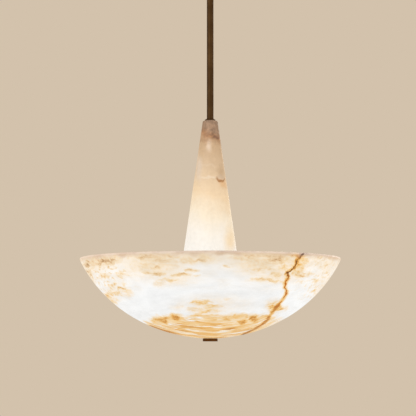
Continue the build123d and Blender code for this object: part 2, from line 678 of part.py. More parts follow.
def bulb_cap():
    """Screw cap of the bulb: contact tip, insulator and shell."""
    tip = BULB_CAP_RADIUS - BULB_TIP_RADIUS
    return turned(
        (0, bulb_tip_u),
        (BULB_TIP_RADIUS, bulb_tip_u),
        (BULB_TIP_RADIUS, bulb_tip_u + tip / 4),
        (BULB_CAP_RADIUS, bulb_tip_u + tip),
        (BULB_CAP_RADIUS, bulb_neck_u),
        (0, bulb_neck_u),
    )


def bulb_neck():
    """Moulded neck that flares from the screw cap out to the globe."""
    shoulder_u = bulb_shoulder_u - BULB_SHOULDER
    flare = EllipticalCenterArc(
        (BULB_SHOULDER_RADIUS, bulb_neck_u),
        BULB_SHOULDER_RADIUS - BULB_NECK_RADIUS,
        shoulder_u - bulb_neck_u,
        180,
        arc_size=-90,
    )
    outline = [
        Line((0, bulb_neck_u), (BULB_NECK_RADIUS, bulb_neck_u)),
        flare,
        Line((BULB_SHOULDER_RADIUS, shoulder_u), (BULB_SHOULDER_RADIUS, bulb_shoulder_u)),
        Line((BULB_SHOULDER_RADIUS, bulb_shoulder_u), (0, bulb_shoulder_u)),
        Line((0, bulb_shoulder_u), (0, bulb_neck_u)),
    ]
    return revolve(Plane.XZ * make_face(outline), Axis.Z)


def led_board():
    return rod_piece(LED_BOARD_RADIUS, bulb_shoulder_u, bulb_shoulder_u + LED_BOARD_THICKNESS)


def bulb_globe():
    """Opal globe: a ball cut off where it seats on the neck, with an even wall."""
    centre_u = bulb_shoulder_u + sqrt(GLOBE_RADIUS ** 2 - BULB_SHOULDER_RADIUS ** 2)
    keep = rod_piece(GLOBE_RADIUS, bulb_shoulder_u, centre_u + GLOBE_RADIUS)
    outside = Pos(0, 0, centre_u) * Sphere(GLOBE_RADIUS)
    inside = Pos(0, 0, centre_u) * Sphere(GLOBE_RADIUS - GLOBE_WALL)
    return (outside - inside) & keep


def bowl_stem():
    return rod_piece(STEM_RADIUS, stem_bottom_z, stem_top_z)


def stem_nut():
    return hex_nut(STEM_NUT_FLATS, stem_seat_radius, stem_nut_bottom_z, stem_nut_bottom_z + STEM_NUT_HEIGHT)


def bowl_nut():
    return hex_nut(STEM_NUT_FLATS, stem_seat_radius, bowl_nut_bottom_z, bowl_nut_bottom_z + STEM_NUT_HEIGHT)


def bowl_washer():
    washer = rod_piece(BOWL_WASHER_RADIUS, bowl_washer_bottom_z, bowl_nut_bottom_z)
    washer = fillet(washer.edges().filter_by(GeomType.CIRCLE), SMALL_ROUND)
    return washer - rod_piece(stem_seat_radius, bowl_washer_bottom_z, bowl_nut_bottom_z)


def bowl_gasket():
    return ring(BOWL_WASHER_RADIUS, bowl_hole_radius, inner_seat_z, bowl_washer_bottom_z)


def finial():
    """Round disc that closes the bowl's hole, with a threaded sleeve inside the stone."""
    disc = rod_piece(FINIAL_RADIUS, finial_bottom_z, finial_top_z)
    disc = fillet(disc.edges().filter_by(GeomType.CIRCLE), FINIAL_ROUND)
    disc += rod_piece(FINIAL_SLEEVE_RADIUS, finial_top_z, finial_top_z + FINIAL_SLEEVE)
    return disc - rod_piece(stem_seat_radius, stem_bottom_z, finial_top_z + FINIAL_SLEEVE)


def finial_gasket():
    return ring(FINIAL_RADIUS - FINIAL_ROUND, bowl_hole_radius, finial_top_z, outer_seat_z)


SINGLE_PIECES = (
    ceiling_bracket, canopy, terminal_block,
    swivel_yoke, swivel_nut, swivel_washer, swivel_ball,
    hanging_rod, supply_cable, cone_cap, cone_cap_gasket,
    alabaster_cone, cone_gasket, cone_carrier, carrier_locknut,
    lamp_hub, hub_cap, bowl_stem, stem_nut,
    bowl_nut, bowl_washer, bowl_gasket, alabaster_bowl, finial_gasket, finial,
)
GROUPED_PIECES = (
    canopy_screws, terminal_screws, terminal_wires, swivel_trunnions, hub_cap_screws, lamp_leads,
)
LAMP_PIECES = (lamp_holder, holder_insert, bulb_cap, bulb_neck, bulb_globe)
LAMP_GROUPS = {
    "lamp_nipples": lamp_nipple,
    "thread_shells": thread_shell,
    "centre_contacts": centre_contact,
    "led_boards": led_board,
}


def all_pieces():
    """Every node's name with its shape."""
    nodes = {make.__name__: make() for make in SINGLE_PIECES}
    for make in GROUPED_PIECES:
        nodes[make.__name__] = Compound(children=[solid for piece in make() for solid in piece.solids()])
    for make in LAMP_PIECES:
        for number, angle in enumerate(lamp_angles, 1):
            nodes[f"{make.__name__}_{number}"] = along_lamp(angle, make())
    for name, make in LAMP_GROUPS.items():
        laid = [along_lamp(angle, make()) for angle in lamp_angles]
        nodes[name] = Compound(children=[solid for piece in laid for solid in piece.solids()])
    return nodes


os.makedirs("parts", exist_ok=True)
for node, shape in all_pieces().items():
    export_step(shape, f"parts/{node}.step")
print("bowl side curve radius", round(bowl_side_arc()[1], 2))
print("rim plane", round(rim_z, 2), "finial bottom", round(finial_bottom_z, 2))
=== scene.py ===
import math
from types import SimpleNamespace

import bmesh
import bpy
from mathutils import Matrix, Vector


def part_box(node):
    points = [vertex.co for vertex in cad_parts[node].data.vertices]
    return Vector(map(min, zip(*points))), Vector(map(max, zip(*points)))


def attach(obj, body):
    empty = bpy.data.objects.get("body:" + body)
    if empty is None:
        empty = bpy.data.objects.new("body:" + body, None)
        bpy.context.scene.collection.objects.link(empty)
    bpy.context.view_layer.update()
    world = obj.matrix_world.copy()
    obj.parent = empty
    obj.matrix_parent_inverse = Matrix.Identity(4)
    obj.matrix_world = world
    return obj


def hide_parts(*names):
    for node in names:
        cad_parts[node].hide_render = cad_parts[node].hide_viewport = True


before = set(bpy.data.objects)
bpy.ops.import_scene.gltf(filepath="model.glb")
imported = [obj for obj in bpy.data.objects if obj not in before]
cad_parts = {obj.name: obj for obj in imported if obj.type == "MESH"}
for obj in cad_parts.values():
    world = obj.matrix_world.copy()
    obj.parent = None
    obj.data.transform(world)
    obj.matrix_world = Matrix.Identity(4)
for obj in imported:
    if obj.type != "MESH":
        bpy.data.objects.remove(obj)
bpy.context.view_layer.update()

# Sizes in metres, on the part's own frame: the ceiling is at z = 0 and the rod hangs down the z axis.
MM = 0.001
RIM_Z = -0.6104                      # plane of the bowl's rim
BOWL_DEPTH = 0.1534
BOWL_RADIUS = 0.252                  # at the rim, before its edges are rounded
BOWL_WALL = 0.010
BOWL_FOOT_ARC = 0.292                # flatter curve round the foot
BOWL_FOOT_ANGLE = math.radians(30)   # how far that curve reaches up from the lowest point
BOWL_SIDE_ARC = 0.26426              # rounder curve from there to the rim
BOWL_SIDE_CENTRE = (0.01387, 0.11456)   # its centre: radius, and height above the rim
BOWL_HOLE = 0.0085                   # radii of the hole at the foot and of the flats ground round it
BOWL_OUTER_SEAT = 0.0157
BOWL_INNER_SEAT = 0.026
BOWL_SEAT_DEPTH = 0.0005
RIM_OUTER_ROUND = 0.00580            # how far the rim's roundings reach along the stone
RIM_INNER_ROUND = 0.00215
BOWL_SWELLS = (0.06, 0.0005)         # width and depth of the swells that hand grinding leaves
CONE_TOP_Z = -0.3448
CONE_FOOT_Z = -0.6224
CONE_ABOVE_RIM = CONE_TOP_Z - RIM_Z
CONE_TOP_RADIUS = 0.0145
CONE_FOOT_RADIUS = 0.0547
CONE_FOOT_INNER = 0.04662
CONE_HEAD = 0.024                    # solid stone at the top, round the rod
CONE_BORE = 0.007
CONE_TOP_ROUND = 0.00217
CONE_SWELLS = (0.05, 0.0004)
STEM_RADIUS = 0.005
STEM_PITCH = 0.001                   # fine lamp thread, as deep as its pitch gives
STEM_TOOTH = 0.0006
STEM_PROFILE = ((0, 1), (0.15, 1), (0.5, 0), (0.65, 0), (1, 1))   # shares: pitch along, tooth cut in

# Fineness of the meshes.
TURN_STEPS = 180                  # round a turned piece
FOOT_ARC_STEPS = 22               # along its outline
SIDE_ARC_STEPS = 26
CONE_OUTER_STEPS = 30
CONE_INNER_STEPS = 24
ROUND_SEGMENTS = 7                # across a rounded edge
THREAD_STEPS = 32                 # in one turn of the thread
MERGE_REACH = 0.01 * MM           # points nearer than this become one
RING_REACH = 0.05 * MM            # how near to an edge's radius and height its points lie
STONE_SMOOTH = math.radians(32)   # flatter edges than this are shaded smooth
THREAD_SMOOTH = math.radians(25)


def linear(hex_colour):
    """An sRGB hex colour as the linear RGBA that a socket takes."""
    channels = [int(hex_colour[i:i + 2], 16) / 255 for i in (1, 3, 5)]
    return [c / 12.92 if c <= 0.04045 else ((c + 0.055) / 1.055) ** 2.4 for c in channels] + [1.0]


def spaced(millimetres):
    """The texture scale that sets a pattern's features this many millimetres apart."""
    return 1000 / millimetres


# The setting that chooses how a node of each kind works.
MODES = {"Math": "operation", "VectorMath": "operation", "MapRange": "interpolation_type",
         "Mapping": "vector_type", "Mix": "data_type"}


def put(tree, kind, sockets=None, mode=None, out=0, **settings):
    """Adds one node with its mode and settings, fills or links its sockets and gives one of its outputs.
    Some sockets go by number: 1 to 4 are a MapRange's limits in and out, which are 0 and 1 by default, and
    6 and 7 the two colours of a colour Mix."""
    node = tree.nodes.new("ShaderNode" + kind)
    if mode:
        setattr(node, MODES[kind], mode)
    for name, value in settings.items():
        setattr(node, name, value)
    for socket, value in (sockets or {}).items():
        if isinstance(value, bpy.types.NodeSocket):
            tree.links.new(value, node.inputs[socket])
        else:
            node.inputs[socket].default_value = value
    return node.outputs[out]


def colour_stops(ramp, stops):
    """Gives a colour ramp its stops, as (place, hex colour)."""
    elements = ramp.node.color_ramp.elements
    while len(elements) < len(stops):
        elements.new(1.0)
    for element, (place, colour) in zip(elements, stops):
        element.position = place
        element.color = linear(colour)


def curve_points(curve, points):
    """Draws a float curve through its points."""
    line = curve.node.mapping.curves[0]
    line.points[0].location = points[0]
    line.points[-1].location = points[-1]
    for point in points[1:-1]:
        line.points.new(*point)
    curve.node.mapping.update()


def finish_named(name, **principled):
    """A new material with its Principled shader's plain numbers set."""
    material = bpy.data.materials.new(name)
    material.use_nodes = True
    tree = material.node_tree
    shader = tree.nodes["Principled BSDF"]
    for socket, value in principled.items():
        shader.inputs[socket.replace("_", " ")].default_value = value
    return material, tree, shader


def link_shader(tree, shader, **sources):
    """Links what the nodes give to the Principled shader's sockets."""
    for socket, source in sources.items():
        tree.links.new(source, shader.inputs[socket.replace("_", " ")])


STONE_IOR = 1.52
DRIFT_REACH = (0.05, 0.05, 0.03)        # how far the bowl's layers drift along each axis, m
FEATHER_REACH = (0.034, 0.034, 0.016)   # how far their edges feather from end to end, m

# The vein that crosses the front of the bowl: depth below the rim and distance right of the axis, mm. A float
# curve ends at 1, which stands for VEIN_REACH here.
VEIN_COURSE = (
    (0, 168), (10, 160), (18, 156), (29, 149), (33, 143), (37, 138), (46, 140), (54, 136), (63, 135),
    (68, 139), (77, 136), (87, 129), (101, 118), (107, 114), (123, 102), (134, 87), (141, 73), (146.5, 63),
    (153.4, 63),
)
VEIN_REACH = 200.0

# How much slimmer the vein runs: share of the bowl's depth, and mm taken off each side.
VEIN_SLIMMER = ((0, 0.3), (0.12, 0.1), (0.5, 0.1), (0.62, 0.35), (0.72, 0.95), (0.86, 0.75), (1, 0.3))

# Where the vein comes up through the lip, where the foot is darkest, and where less of the lamps' light comes
# through: across, depth, half width, half height (mm) and strength.
VEIN_TOP = ((169, 2, 17, 5, 0.6),)
LOWER_LEFT = ((-92, 136, 48, 17, 1.0),)
DIM_PLACES = ((0, 8, 150, 52, 0.07), (15, 86, 120, 38, 0.034))

# Broad soft clouds in the front of the bowl, in the same measures.
SOFT_CLOUDS = (
    (-236, 42, 24, 48, 0.25), (-205, 18, 46, 18, 0.22), (-176, 62, 34, 26, 0.15), (-98, 26, 66, 30, 0.34),
    (-62, 50, 50, 14, 0.24), (-20, 14, 60, 12, 0.26), (96, 22, 70, 28, 0.36), (112, 46, 50, 14, 0.26),
    (158, 28, 22, 30, 0.32), (216, 56, 32, 40, 0.21), (10, 92, 84, 20, 0.15), (-4, 102, 50, 14, 0.24),
    (116, 96, 22, 16, 0.34),
)

# Deeper honey patches and streaks, in the same measures.
HONEY_PATCHES = (
    (-219, 15, 28, 12, 0.55), (-229, 15, 12, 8, 0.95), (-190, 14, 36, 9, 0.70), (-226, 40, 16, 22, 0.30),
    (-192, 76, 15, 14, 0.68), (-184, 83, 15, 9, 0.58), (-172, 70, 20, 8, 0.56), (-154, 69, 14, 13, 0.34),
    (-197, 40, 16, 7, 0.70), (-178, 57, 13, 6, 0.48), (-165, 64, 10, 5, 0.62), (-160, 40, 16, 9, 0.40),
    (-228, 30, 14, 12, 0.60), (-114, 10, 34, 7, 0.62), (-85, 13, 48, 13, 0.50), (-97, 29, 18, 6.5, 0.66),
    (-92, 39.5, 21, 6.5, 0.74), (-112, 37, 20, 5.5, 0.56), (-53, 42, 22, 4.5, 0.80),
    (-72, 50, 22, 4.5, 0.80), (-88, 55, 18, 9, 0.45), (-36, 34, 15, 5, 0.50), (-24, 44, 10, 3.5, 0.50),
    (-33, 17, 36, 6, 0.62), (31, 27, 10, 3.5, 0.62), (72, 13, 46, 14, 0.46), (118, 14, 32, 15, 0.70),
    (152, 5, 28, 7, 0.74), (130, 28, 20, 11, 0.68), (92, 31, 48, 5, 0.62), (117, 40, 26, 5, 0.60),
    (100, 50, 44, 5.5, 0.66), (168, 14, 12, 12, 0.46), (161, 26, 13, 13, 0.60), (154, 35, 11, 8, 0.68),
    (161, 39, 18, 7, 0.84), (178, 36, 18, 4.5, 0.44), (196, 46, 18, 4, 0.50), (194, 66, 8, 5, 0.50),
    (214, 22, 34, 26, 0.18), (112, 96, 15, 11, 0.95), (127, 98, 10, 7, 1.10), (138, 98, 12, 6, 0.45),
    (33, 85, 12, 5, 0.40), (-57, 97, 18, 9, 0.26), (-18, 90, 26, 6, 0.75), (2, 97, 34, 7, 0.68),
    (-8, 105, 34, 7, 0.65), (-24, 101, 20, 7, 0.58),
)

# Full amber lobes along the upper edge of the foot, in the same measures.
AMBER_LOBES = (
    (-65, 116, 15, 8, 0.90), (-88, 119, 24, 8, 0.90), (60, 123, 14, 8, 1.15), (66, 113, 8, 5, 0.80),
    (79, 118, 12, 10, 1.00), (34, 117, 10, 9, 0.74), (46, 113, 7, 8, 0.66), (3, 118, 15, 8, 0.64),
)

# Faint cream bands across the cone: height above the bowl's rim (m) and strength.
CREAM_BANDS = ((0.152, 0.36), (0.176, 0.12))


def in_places(tree, where, places, edge, core, only=None):
    """How strongly a point lies in one of the placed ellipses, seen from the front. The strength comes up
    from edge to core, both counted in the ellipse's half sizes. only says where the ellipses show at all."""
    strongest = None
    for across, depth, half_width, half_height, strength in places:
        per_size = (1 / (half_width * MM), 0, 1 / (half_height * MM))
        centre = (-across / half_width, 0, depth / half_height)
        spot = put(tree, "VectorMath", {0: where, 1: per_size, 2: centre}, "MULTIPLY_ADD")
        spread = put(tree, "VectorMath", {0: spot}, "LENGTH", out="Value")
        here = put(tree, "MapRange", {0: spread, 1: edge, 2: core, 3: 0.0, 4: strength}, "SMOOTHSTEP")
        if strongest is None:
            strongest = here
        else:
            strongest = put(tree, "Math", {0: strongest, 1: here}, "MAXIMUM")
    if only is None:
        return strongest
    return put(tree, "Math", {0: strongest, 1: only}, "MULTIPLY")


def crystal_grain(tree, stone):
    """The alabaster's crystals, 4 mm across: the pattern in which they break the shine, and their relief."""
    crystals = put(tree, "TexNoise", {"Vector": stone, "Scale": spaced(4), "Detail": 4.0, "Roughness": 0.6})
    return crystals, put(tree, "Bump", {"Height": crystals, "Strength": 0.06, "Distance": MM})


def bowl_place(tree):
    """A point's place in the bowl, counted from the rim, and the same place as the stone's layers bend it."""
    at = SimpleNamespace()
    place = put(tree, "TexCoord", out="Object")
    at.stone = put(tree, "Mapping", {"Vector": place, "Location": (0, 0, -RIM_Z)})
    at.across, at.front, at.height = put(tree, "SeparateXYZ", {0: at.stone}).node.outputs
    at.depth = put(tree, "Math", {0: at.height, 1: -1 / BOWL_DEPTH}, "MULTIPLY", use_clamp=True)
    at.off_axis = put(tree, "Math", {0: at.across}, "ABSOLUTE")
    at.in_front = put(tree, "MapRange", {0: at.front, 1: 0.02, 2: -0.02})

    # Slow drift of the layers, 130 mm from swell to swell, and a finer feathering of 22 mm.
    at.drift = put(tree, "TexNoise", {"Vector": at.stone, "Scale": spaced(130)}, out="Color")
    at.drifted = put(tree, "VectorMath", {0: at.drift, 1: DRIFT_REACH, 2: at.stone}, "MULTIPLY_ADD")
    at.feather = put(tree, "TexNoise", {"Vector": at.stone, "Scale": spaced(22), "Detail": 5.0,
                                        "Roughness": 0.62}, out="Color")
    feathered = put(tree, "VectorMath", {0: at.feather, 1: FEATHER_REACH, 2: at.stone}, "MULTIPLY_ADD")
    half_reach = [reach / 2 for reach in FEATHER_REACH]
    at.feathered = put(tree, "VectorMath", {0: feathered, 1: half_reach}, "SUBTRACT")
    return at


def honey_clouds(tree, at):
    """How much honey the bowl's white stone holds in its clouds and patches, and the thin wisps in it."""
    # Clouds in layers that lie nearly flat, 75 mm long and a third as high, fainter where the front's own
    # clouds are placed.
    layers = put(tree, "Mapping", {"Vector": at.drifted, "Rotation": (0, math.radians(-7), 0),
                                   "Scale": (1, 1, 3)})
    clouds = put(tree, "TexNoise", {"Vector": layers, "Scale": spaced(75), "Detail": 4.0, "Roughness": 0.55,
                                    "Distortion": 0.3})
    clouds = put(tree, "MapRange", {0: clouds, 1: 0.42, 2: 0.72}, "SMOOTHSTEP")
    cloud_band = put(tree, "FloatCurve", {"Value": at.depth})
    curve_points(cloud_band, ((0, 0.62), (0.12, 0.6), (0.28, 0.5), (0.42, 0.28), (0.55, 0.1), (0.7, 0.06),
                              (1, 0.1)))
    zones = put(tree, "Math", {0: clouds, 1: cloud_band}, "MULTIPLY")
    front_share = put(tree, "MapRange", {0: at.in_front, 3: 1.0, 4: 0.25})
    zones = put(tree, "Math", {0: zones, 1: front_share}, "MULTIPLY")
    patches = in_places(tree, at.feathered, HONEY_PATCHES, edge=1.25, core=0.0, only=at.in_front)
    zones = put(tree, "Math", {0: zones, 1: patches}, "MAXIMUM")

    # Inside a cloud or patch the honey gathers in wisps 22 mm long and a fifth as high, broken up by a
    # scribble of 7 mm.
    faintest, fullest = 0.36, 1.12
    wisp_place = put(tree, "Mapping", {"Vector": at.feathered, "Rotation": (0, math.radians(5), 0),
                                       "Scale": (0.022, 0.022, 0.0046)}, "TEXTURE")
    wisps = put(tree, "TexNoise", {"Vector": wisp_place, "Scale": 1.0, "Detail": 6.0, "Roughness": 0.6,
                                   "Distortion": 0.5})
    wisps = put(tree, "MapRange", {0: wisps, 1: 0.35, 2: 0.67, 3: faintest, 4: fullest})
    scribble = put(tree, "TexNoise", {"Vector": at.stone, "Scale": spaced(7), "Detail": 4.0,
                                      "Roughness": 0.7})
    scribble = put(tree, "MapRange", {0: scribble, 1: 0.3, 2: 0.7, 3: 0.66, 4: 1.34})
    wisps = put(tree, "Math", {0: wisps, 1: scribble}, "MULTIPLY")
    honey = put(tree, "Math", {0: zones, 1: wisps}, "MULTIPLY")

    # Round them lie broad soft clouds with thinner wisps, and a breath of cream that fades below the rim.
    soft = in_places(tree, at.feathered, SOFT_CLOUDS, edge=1.3, core=0.0, only=at.in_front)
    thin_wisps = put(tree, "MapRange", {0: wisps, 1: faintest, 2: fullest, 3: 0.55, 4: 1.2})
    soft = put(tree, "Math", {0: soft, 1: thin_wisps}, "MULTIPLY")
    honey = put(tree, "Math", {0: honey, 1: soft}, "MAXIMUM")
    cream = put(tree, "FloatCurve", {"Value": at.depth})
    curve_points(cream, ((0, 0.24), (0.08, 0.16), (0.2, 0.07), (0.34, 0.02), (0.5, 0.0), (1, 0.0)))
    honey = put(tree, "Math", {0: honey, 1: cream}, "ADD")
    return honey, thin_wisps


def rust_flecks(tree, at):
    """Rust flecks in a grain of 11 by 6 mm, scattered down both sides of the bowl, more on the left."""
    fleck_place = put(tree, "Mapping", {"Vector": at.feathered, "Scale": (0.011, 0.011, 0.006)}, "TEXTURE")
    flecks = put(tree, "TexNoise", {"Vector": fleck_place, "Scale": 1.0, "Detail": 3.0, "Roughness": 0.55})
    flecks = put(tree, "MapRange", {0: flecks, 1: 0.50, 2: 0.72, 3: 0.0, 4: 0.50}, "SMOOTHSTEP")
    sides = put(tree, "MapRange", {0: at.off_axis, 1: 0.125, 2: 0.185})
    left = put(tree, "MapRange", {0: at.across, 1: 0.1, 2: -0.1, 3: 0.65, 4: 1.0})
    sides = put(tree, "Math", {0: sides, 1: left}, "MULTIPLY")
    fleck_band = put(tree, "FloatCurve", {"Value": at.depth})
    curve_points(fleck_band, ((0, 0.5), (0.1, 0.8), (0.3, 1.0), (0.48, 0.9), (0.6, 0.0), (1, 0.0)))
    sides = put(tree, "Math", {0: sides, 1: fleck_band}, "MULTIPLY")
    return put(tree, "Math", {0: flecks, 1: sides}, "MULTIPLY")


def amber_foot(tree, at, thin_wisps):
    """The amber foot: upright sheets 11 mm apart, with ruffled edges, that cut the bowl in smiling curves and
    darken towards the lower left, pale threads between them, and full lobes along the foot's upper edge."""
    foot_place = put(tree, "Mapping", {"Vector": at.feathered, "Location": (-0.006, 0.026, 0),
                                       "Scale": (1, 1, 0)})
    foot_radius = put(tree, "VectorMath", {0: foot_place}, "LENGTH", out="Value")
    foot = put(tree, "MapRange", {0: foot_radius, 1: 0.134, 2: 0.120}, "SMOOTHSTEP")
    bent = put(tree, "VectorMath", {0: at.drift, 1: (0.0, 0.05, 0.0), 2: at.stone}, "MULTIPLY_ADD")
    ruffled = put(tree, "VectorMath", {0: at.feather, 1: (0.0, 0.016, 0.0), 2: bent}, "MULTIPLY_ADD")
    sheets = put(tree, "Mapping", {"Vector": ruffled, "Scale": (0.060, 0.011, 0.050)}, "TEXTURE")
    streaks = put(tree, "TexNoise", {"Vector": sheets, "Scale": 1.0, "Detail": 4.0, "Roughness": 0.62,
                                     "Distortion": 0.6})
    streaks = put(tree, "MapRange", {0: streaks, 1: 0.30, 2: 0.70, 3: 0.22, 4: 0.98})
    edge_on = put(tree, "MapRange", {0: at.front, 1: -0.055, 2: -0.015, 3: 0.0, 4: 0.4}, "SMOOTHSTEP")
    lower_left = in_places(tree, at.stone, LOWER_LEFT, edge=1.2, core=0.5, only=edge_on)
    streaks = put(tree, "Math", {0: streaks, 1: lower_left}, "ADD")

    # The threads lie where a gently waved noise of 15 mm passes its middle.
    waved = put(tree, "VectorMath", {0: at.feather, 1: (0.0, 0.007, 0.0), 2: bent}, "MULTIPLY_ADD")
    thread_sheets = put(tree, "Mapping", {"Vector": waved, "Scale": (0.130, 0.015, 0.090)}, "TEXTURE")
    threads = put(tree, "TexNoise", {"Vector": thread_sheets, "Scale": 1.0})
    threads = put(tree, "Math", {0: threads, 1: 0.5}, "SUBTRACT")
    threads = put(tree, "Math", {0: threads}, "ABSOLUTE")
    threads = put(tree, "MapRange", {0: threads, 1: 0.028, 2: 0.006, 3: 0.0, 4: 0.5}, "SMOOTHSTEP")
    streaks = put(tree, "Math", {0: streaks, 1: threads}, "SUBTRACT", use_clamp=True)
    deepest = put(tree, "MapRange", {0: at.depth, 1: 0.84, 2: 0.97, 3: 0.0, 4: 0.08})
    streaks = put(tree, "Math", {0: streaks, 1: deepest}, "ADD")
    foot = put(tree, "Math", {0: foot, 1: streaks}, "MULTIPLY")

    # Round each lobe runs a border that is up to a fifth paler.
    border = in_places(tree, at.feathered, AMBER_LOBES, edge=1.8, core=1.1)
    border = put(tree, "MapRange", {0: border, 3: 1.0, 4: 0.8})
    foot = put(tree, "Math", {0: foot, 1: border}, "MULTIPLY")
    lobes = in_places(tree, at.feathered, AMBER_LOBES, edge=1.3, core=0.2, only=at.in_front)
    lobes = put(tree, "Math", {0: lobes, 1: thin_wisps}, "MULTIPLY")
    return put(tree, "Math", {0: foot, 1: lobes}, "MAXIMUM")


def iron_vein(tree, at):
    """The vein: a thin sheet of iron brown that crosses the whole stone, down the front, past the foot and up
    the back. Gives how far right of it and how far off it a point lies, its core, and the amber soaked in
    beside it."""
    line = put(tree, "FloatCurve", {"Value": at.depth})
    curve_points(line, [(depth / (BOWL_DEPTH / MM), across / VEIN_REACH) for depth, across in VEIN_COURSE])
    line = put(tree, "Math", {0: line, 1: VEIN_REACH * MM}, "MULTIPLY")
    behind = put(tree, "MapRange", {0: at.front, 1: 0.0, 2: 0.32, 3: 0.0, 4: -0.26}, "SMOOTHSTEP")
    line = put(tree, "Math", {0: line, 1: behind}, "ADD")
    right_of = put(tree, "Math", {0: at.across, 1: line}, "SUBTRACT")

    # It strays by up to 4 mm every 9 mm, less lower down, and thickens and thins every 11 mm.
    stray = put(tree, "TexNoise", {"Vector": at.stone, "Scale": spaced(9), "Detail": 3.0, "Roughness": 0.65})
    stray = put(tree, "MapRange", {0: stray, 1: 0.25, 2: 0.75, 3: -0.0040, 4: 0.0040})
    calmer = put(tree, "MapRange", {0: at.depth, 1: 0.2, 2: 0.5, 3: 1.0, 4: 0.36})
    stray = put(tree, "Math", {0: stray, 1: calmer}, "MULTIPLY")
    right_of = put(tree, "Math", {0: right_of, 1: stray}, "ADD")
    off = put(tree, "Math", {0: right_of}, "ABSOLUTE")
    beads = put(tree, "TexNoise", {"Vector": at.stone, "Scale": spaced(11)})
    beads = put(tree, "MapRange", {0: beads, 1: 0.3, 2: 0.7, 3: -0.0009, 4: 0.0015})
    beaded = put(tree, "Math", {0: off, 1: beads}, "ADD")
    slimmer = put(tree, "FloatCurve", {"Value": at.depth})
    curve_points(slimmer, VEIN_SLIMMER)
    beaded = put(tree, "Math", {0: slimmer, 1: MM, 2: beaded}, "MULTIPLY_ADD")
    core = put(tree, "MapRange", {0: beaded, 1: 0.0022, 2: 0.0007}, "SMOOTHSTEP")
    halo = put(tree, "MapRange", {0: off, 1: 0.0064, 2: 0.001, 3: 0.0, 4: 0.62}, "SMOOTHSTEP")
    return SimpleNamespace(right_of=right_of, off=off, core=core, halo=halo)


def honey_colours(tree, at, honey, off_vein):
    """The lit stone's colour: white to tan by its honey, and white to amber low down and by the vein."""
    tan = put(tree, "ValToRGB", {0: honey})
    colour_stops(tan, ((0.0, "#F9FCFF"), (0.2, "#FBF1E2"), (0.42, "#F4DEBC"), (0.65, "#E4C49A"),
                       (0.85, "#C8A277"), (1.0, "#B08A62")))
    amber = put(tree, "ValToRGB", {0: honey})
    colour_stops(amber, ((0.0, "#F9FCFF"), (0.2, "#FAEEDE"), (0.42, "#F7DCAE"), (0.65, "#F1C47C"),
                         (0.85, "#E0A34C"), (1.0, "#C08238")))
    by_vein = put(tree, "MapRange", {0: off_vein, 1: 0.036, 2: 0.008})
    low = put(tree, "MapRange", {0: at.depth, 1: 0.15, 2: 0.55})
    rich = put(tree, "Math", {0: by_vein, 1: low}, "MAXIMUM")
    return put(tree, "Mix", {0: rich, 6: tan, 7: amber}, "RGBA", out=2)


def unlit_rim(tree, at, lit):
    """Along the rim the lamps no longer shine through, so the stone turns to its own tan, in a band that
    comes and goes over 60 mm. The lip above it is a paler greyish pink: a painted highlight on its rounded
    top edge, over stone clouded over 26 mm and greyer where the vein comes up."""
    rim_place = put(tree, "SeparateXYZ", {0: at.feathered}, out="Z")
    rim_edge = put(tree, "MapRange", {0: rim_place, 1: -0.012, 2: -0.002, 3: 0.0, 4: 0.8}, "SMOOTHSTEP")
    rim_clouds = put(tree, "TexNoise", {"Vector": at.stone, "Scale": spaced(60), "Detail": 3.0})
    rim_clouds = put(tree, "MapRange", {0: rim_clouds, 1: 0.35, 2: 0.6, 3: 0.45, 4: 1.2})
    rim_edge = put(tree, "Math", {0: rim_edge, 1: rim_clouds}, "MULTIPLY", use_clamp=True)
    lit = put(tree, "Mix", {0: rim_edge, 6: lit, 7: linear("#DBBD9F")}, "RGBA", out=2)
    # Painted highlight: the lip's top few mm turn a paler greyish pink, clouded like the stone.
    lip = put(tree, "MapRange", {0: at.height, 1: -0.005, 2: -0.002, 3: 0.0, 4: 0.7})
    lip_clouds = put(tree, "TexNoise", {"Vector": at.stone, "Scale": spaced(26), "Detail": 4.0,
                                        "Roughness": 0.6})
    lip_stone_and_highlight = put(tree, "ValToRGB", {0: lip_clouds})
    colour_stops(lip_stone_and_highlight, ((0.36, "#CDB9AC"), (0.5, "#E3CEBE"), (0.64, "#EEDBCB")))
    lit = put(tree, "Mix", {0: lip, 6: lit, 7: lip_stone_and_highlight}, "RGBA", out=2)
    vein_top = in_places(tree, at.stone, VEIN_TOP, edge=1.2, core=0.1, only=at.in_front)
    return put(tree, "Mix", {0: vein_top, 6: lit, 7: linear("#B7A096")}, "RGBA", out=2)


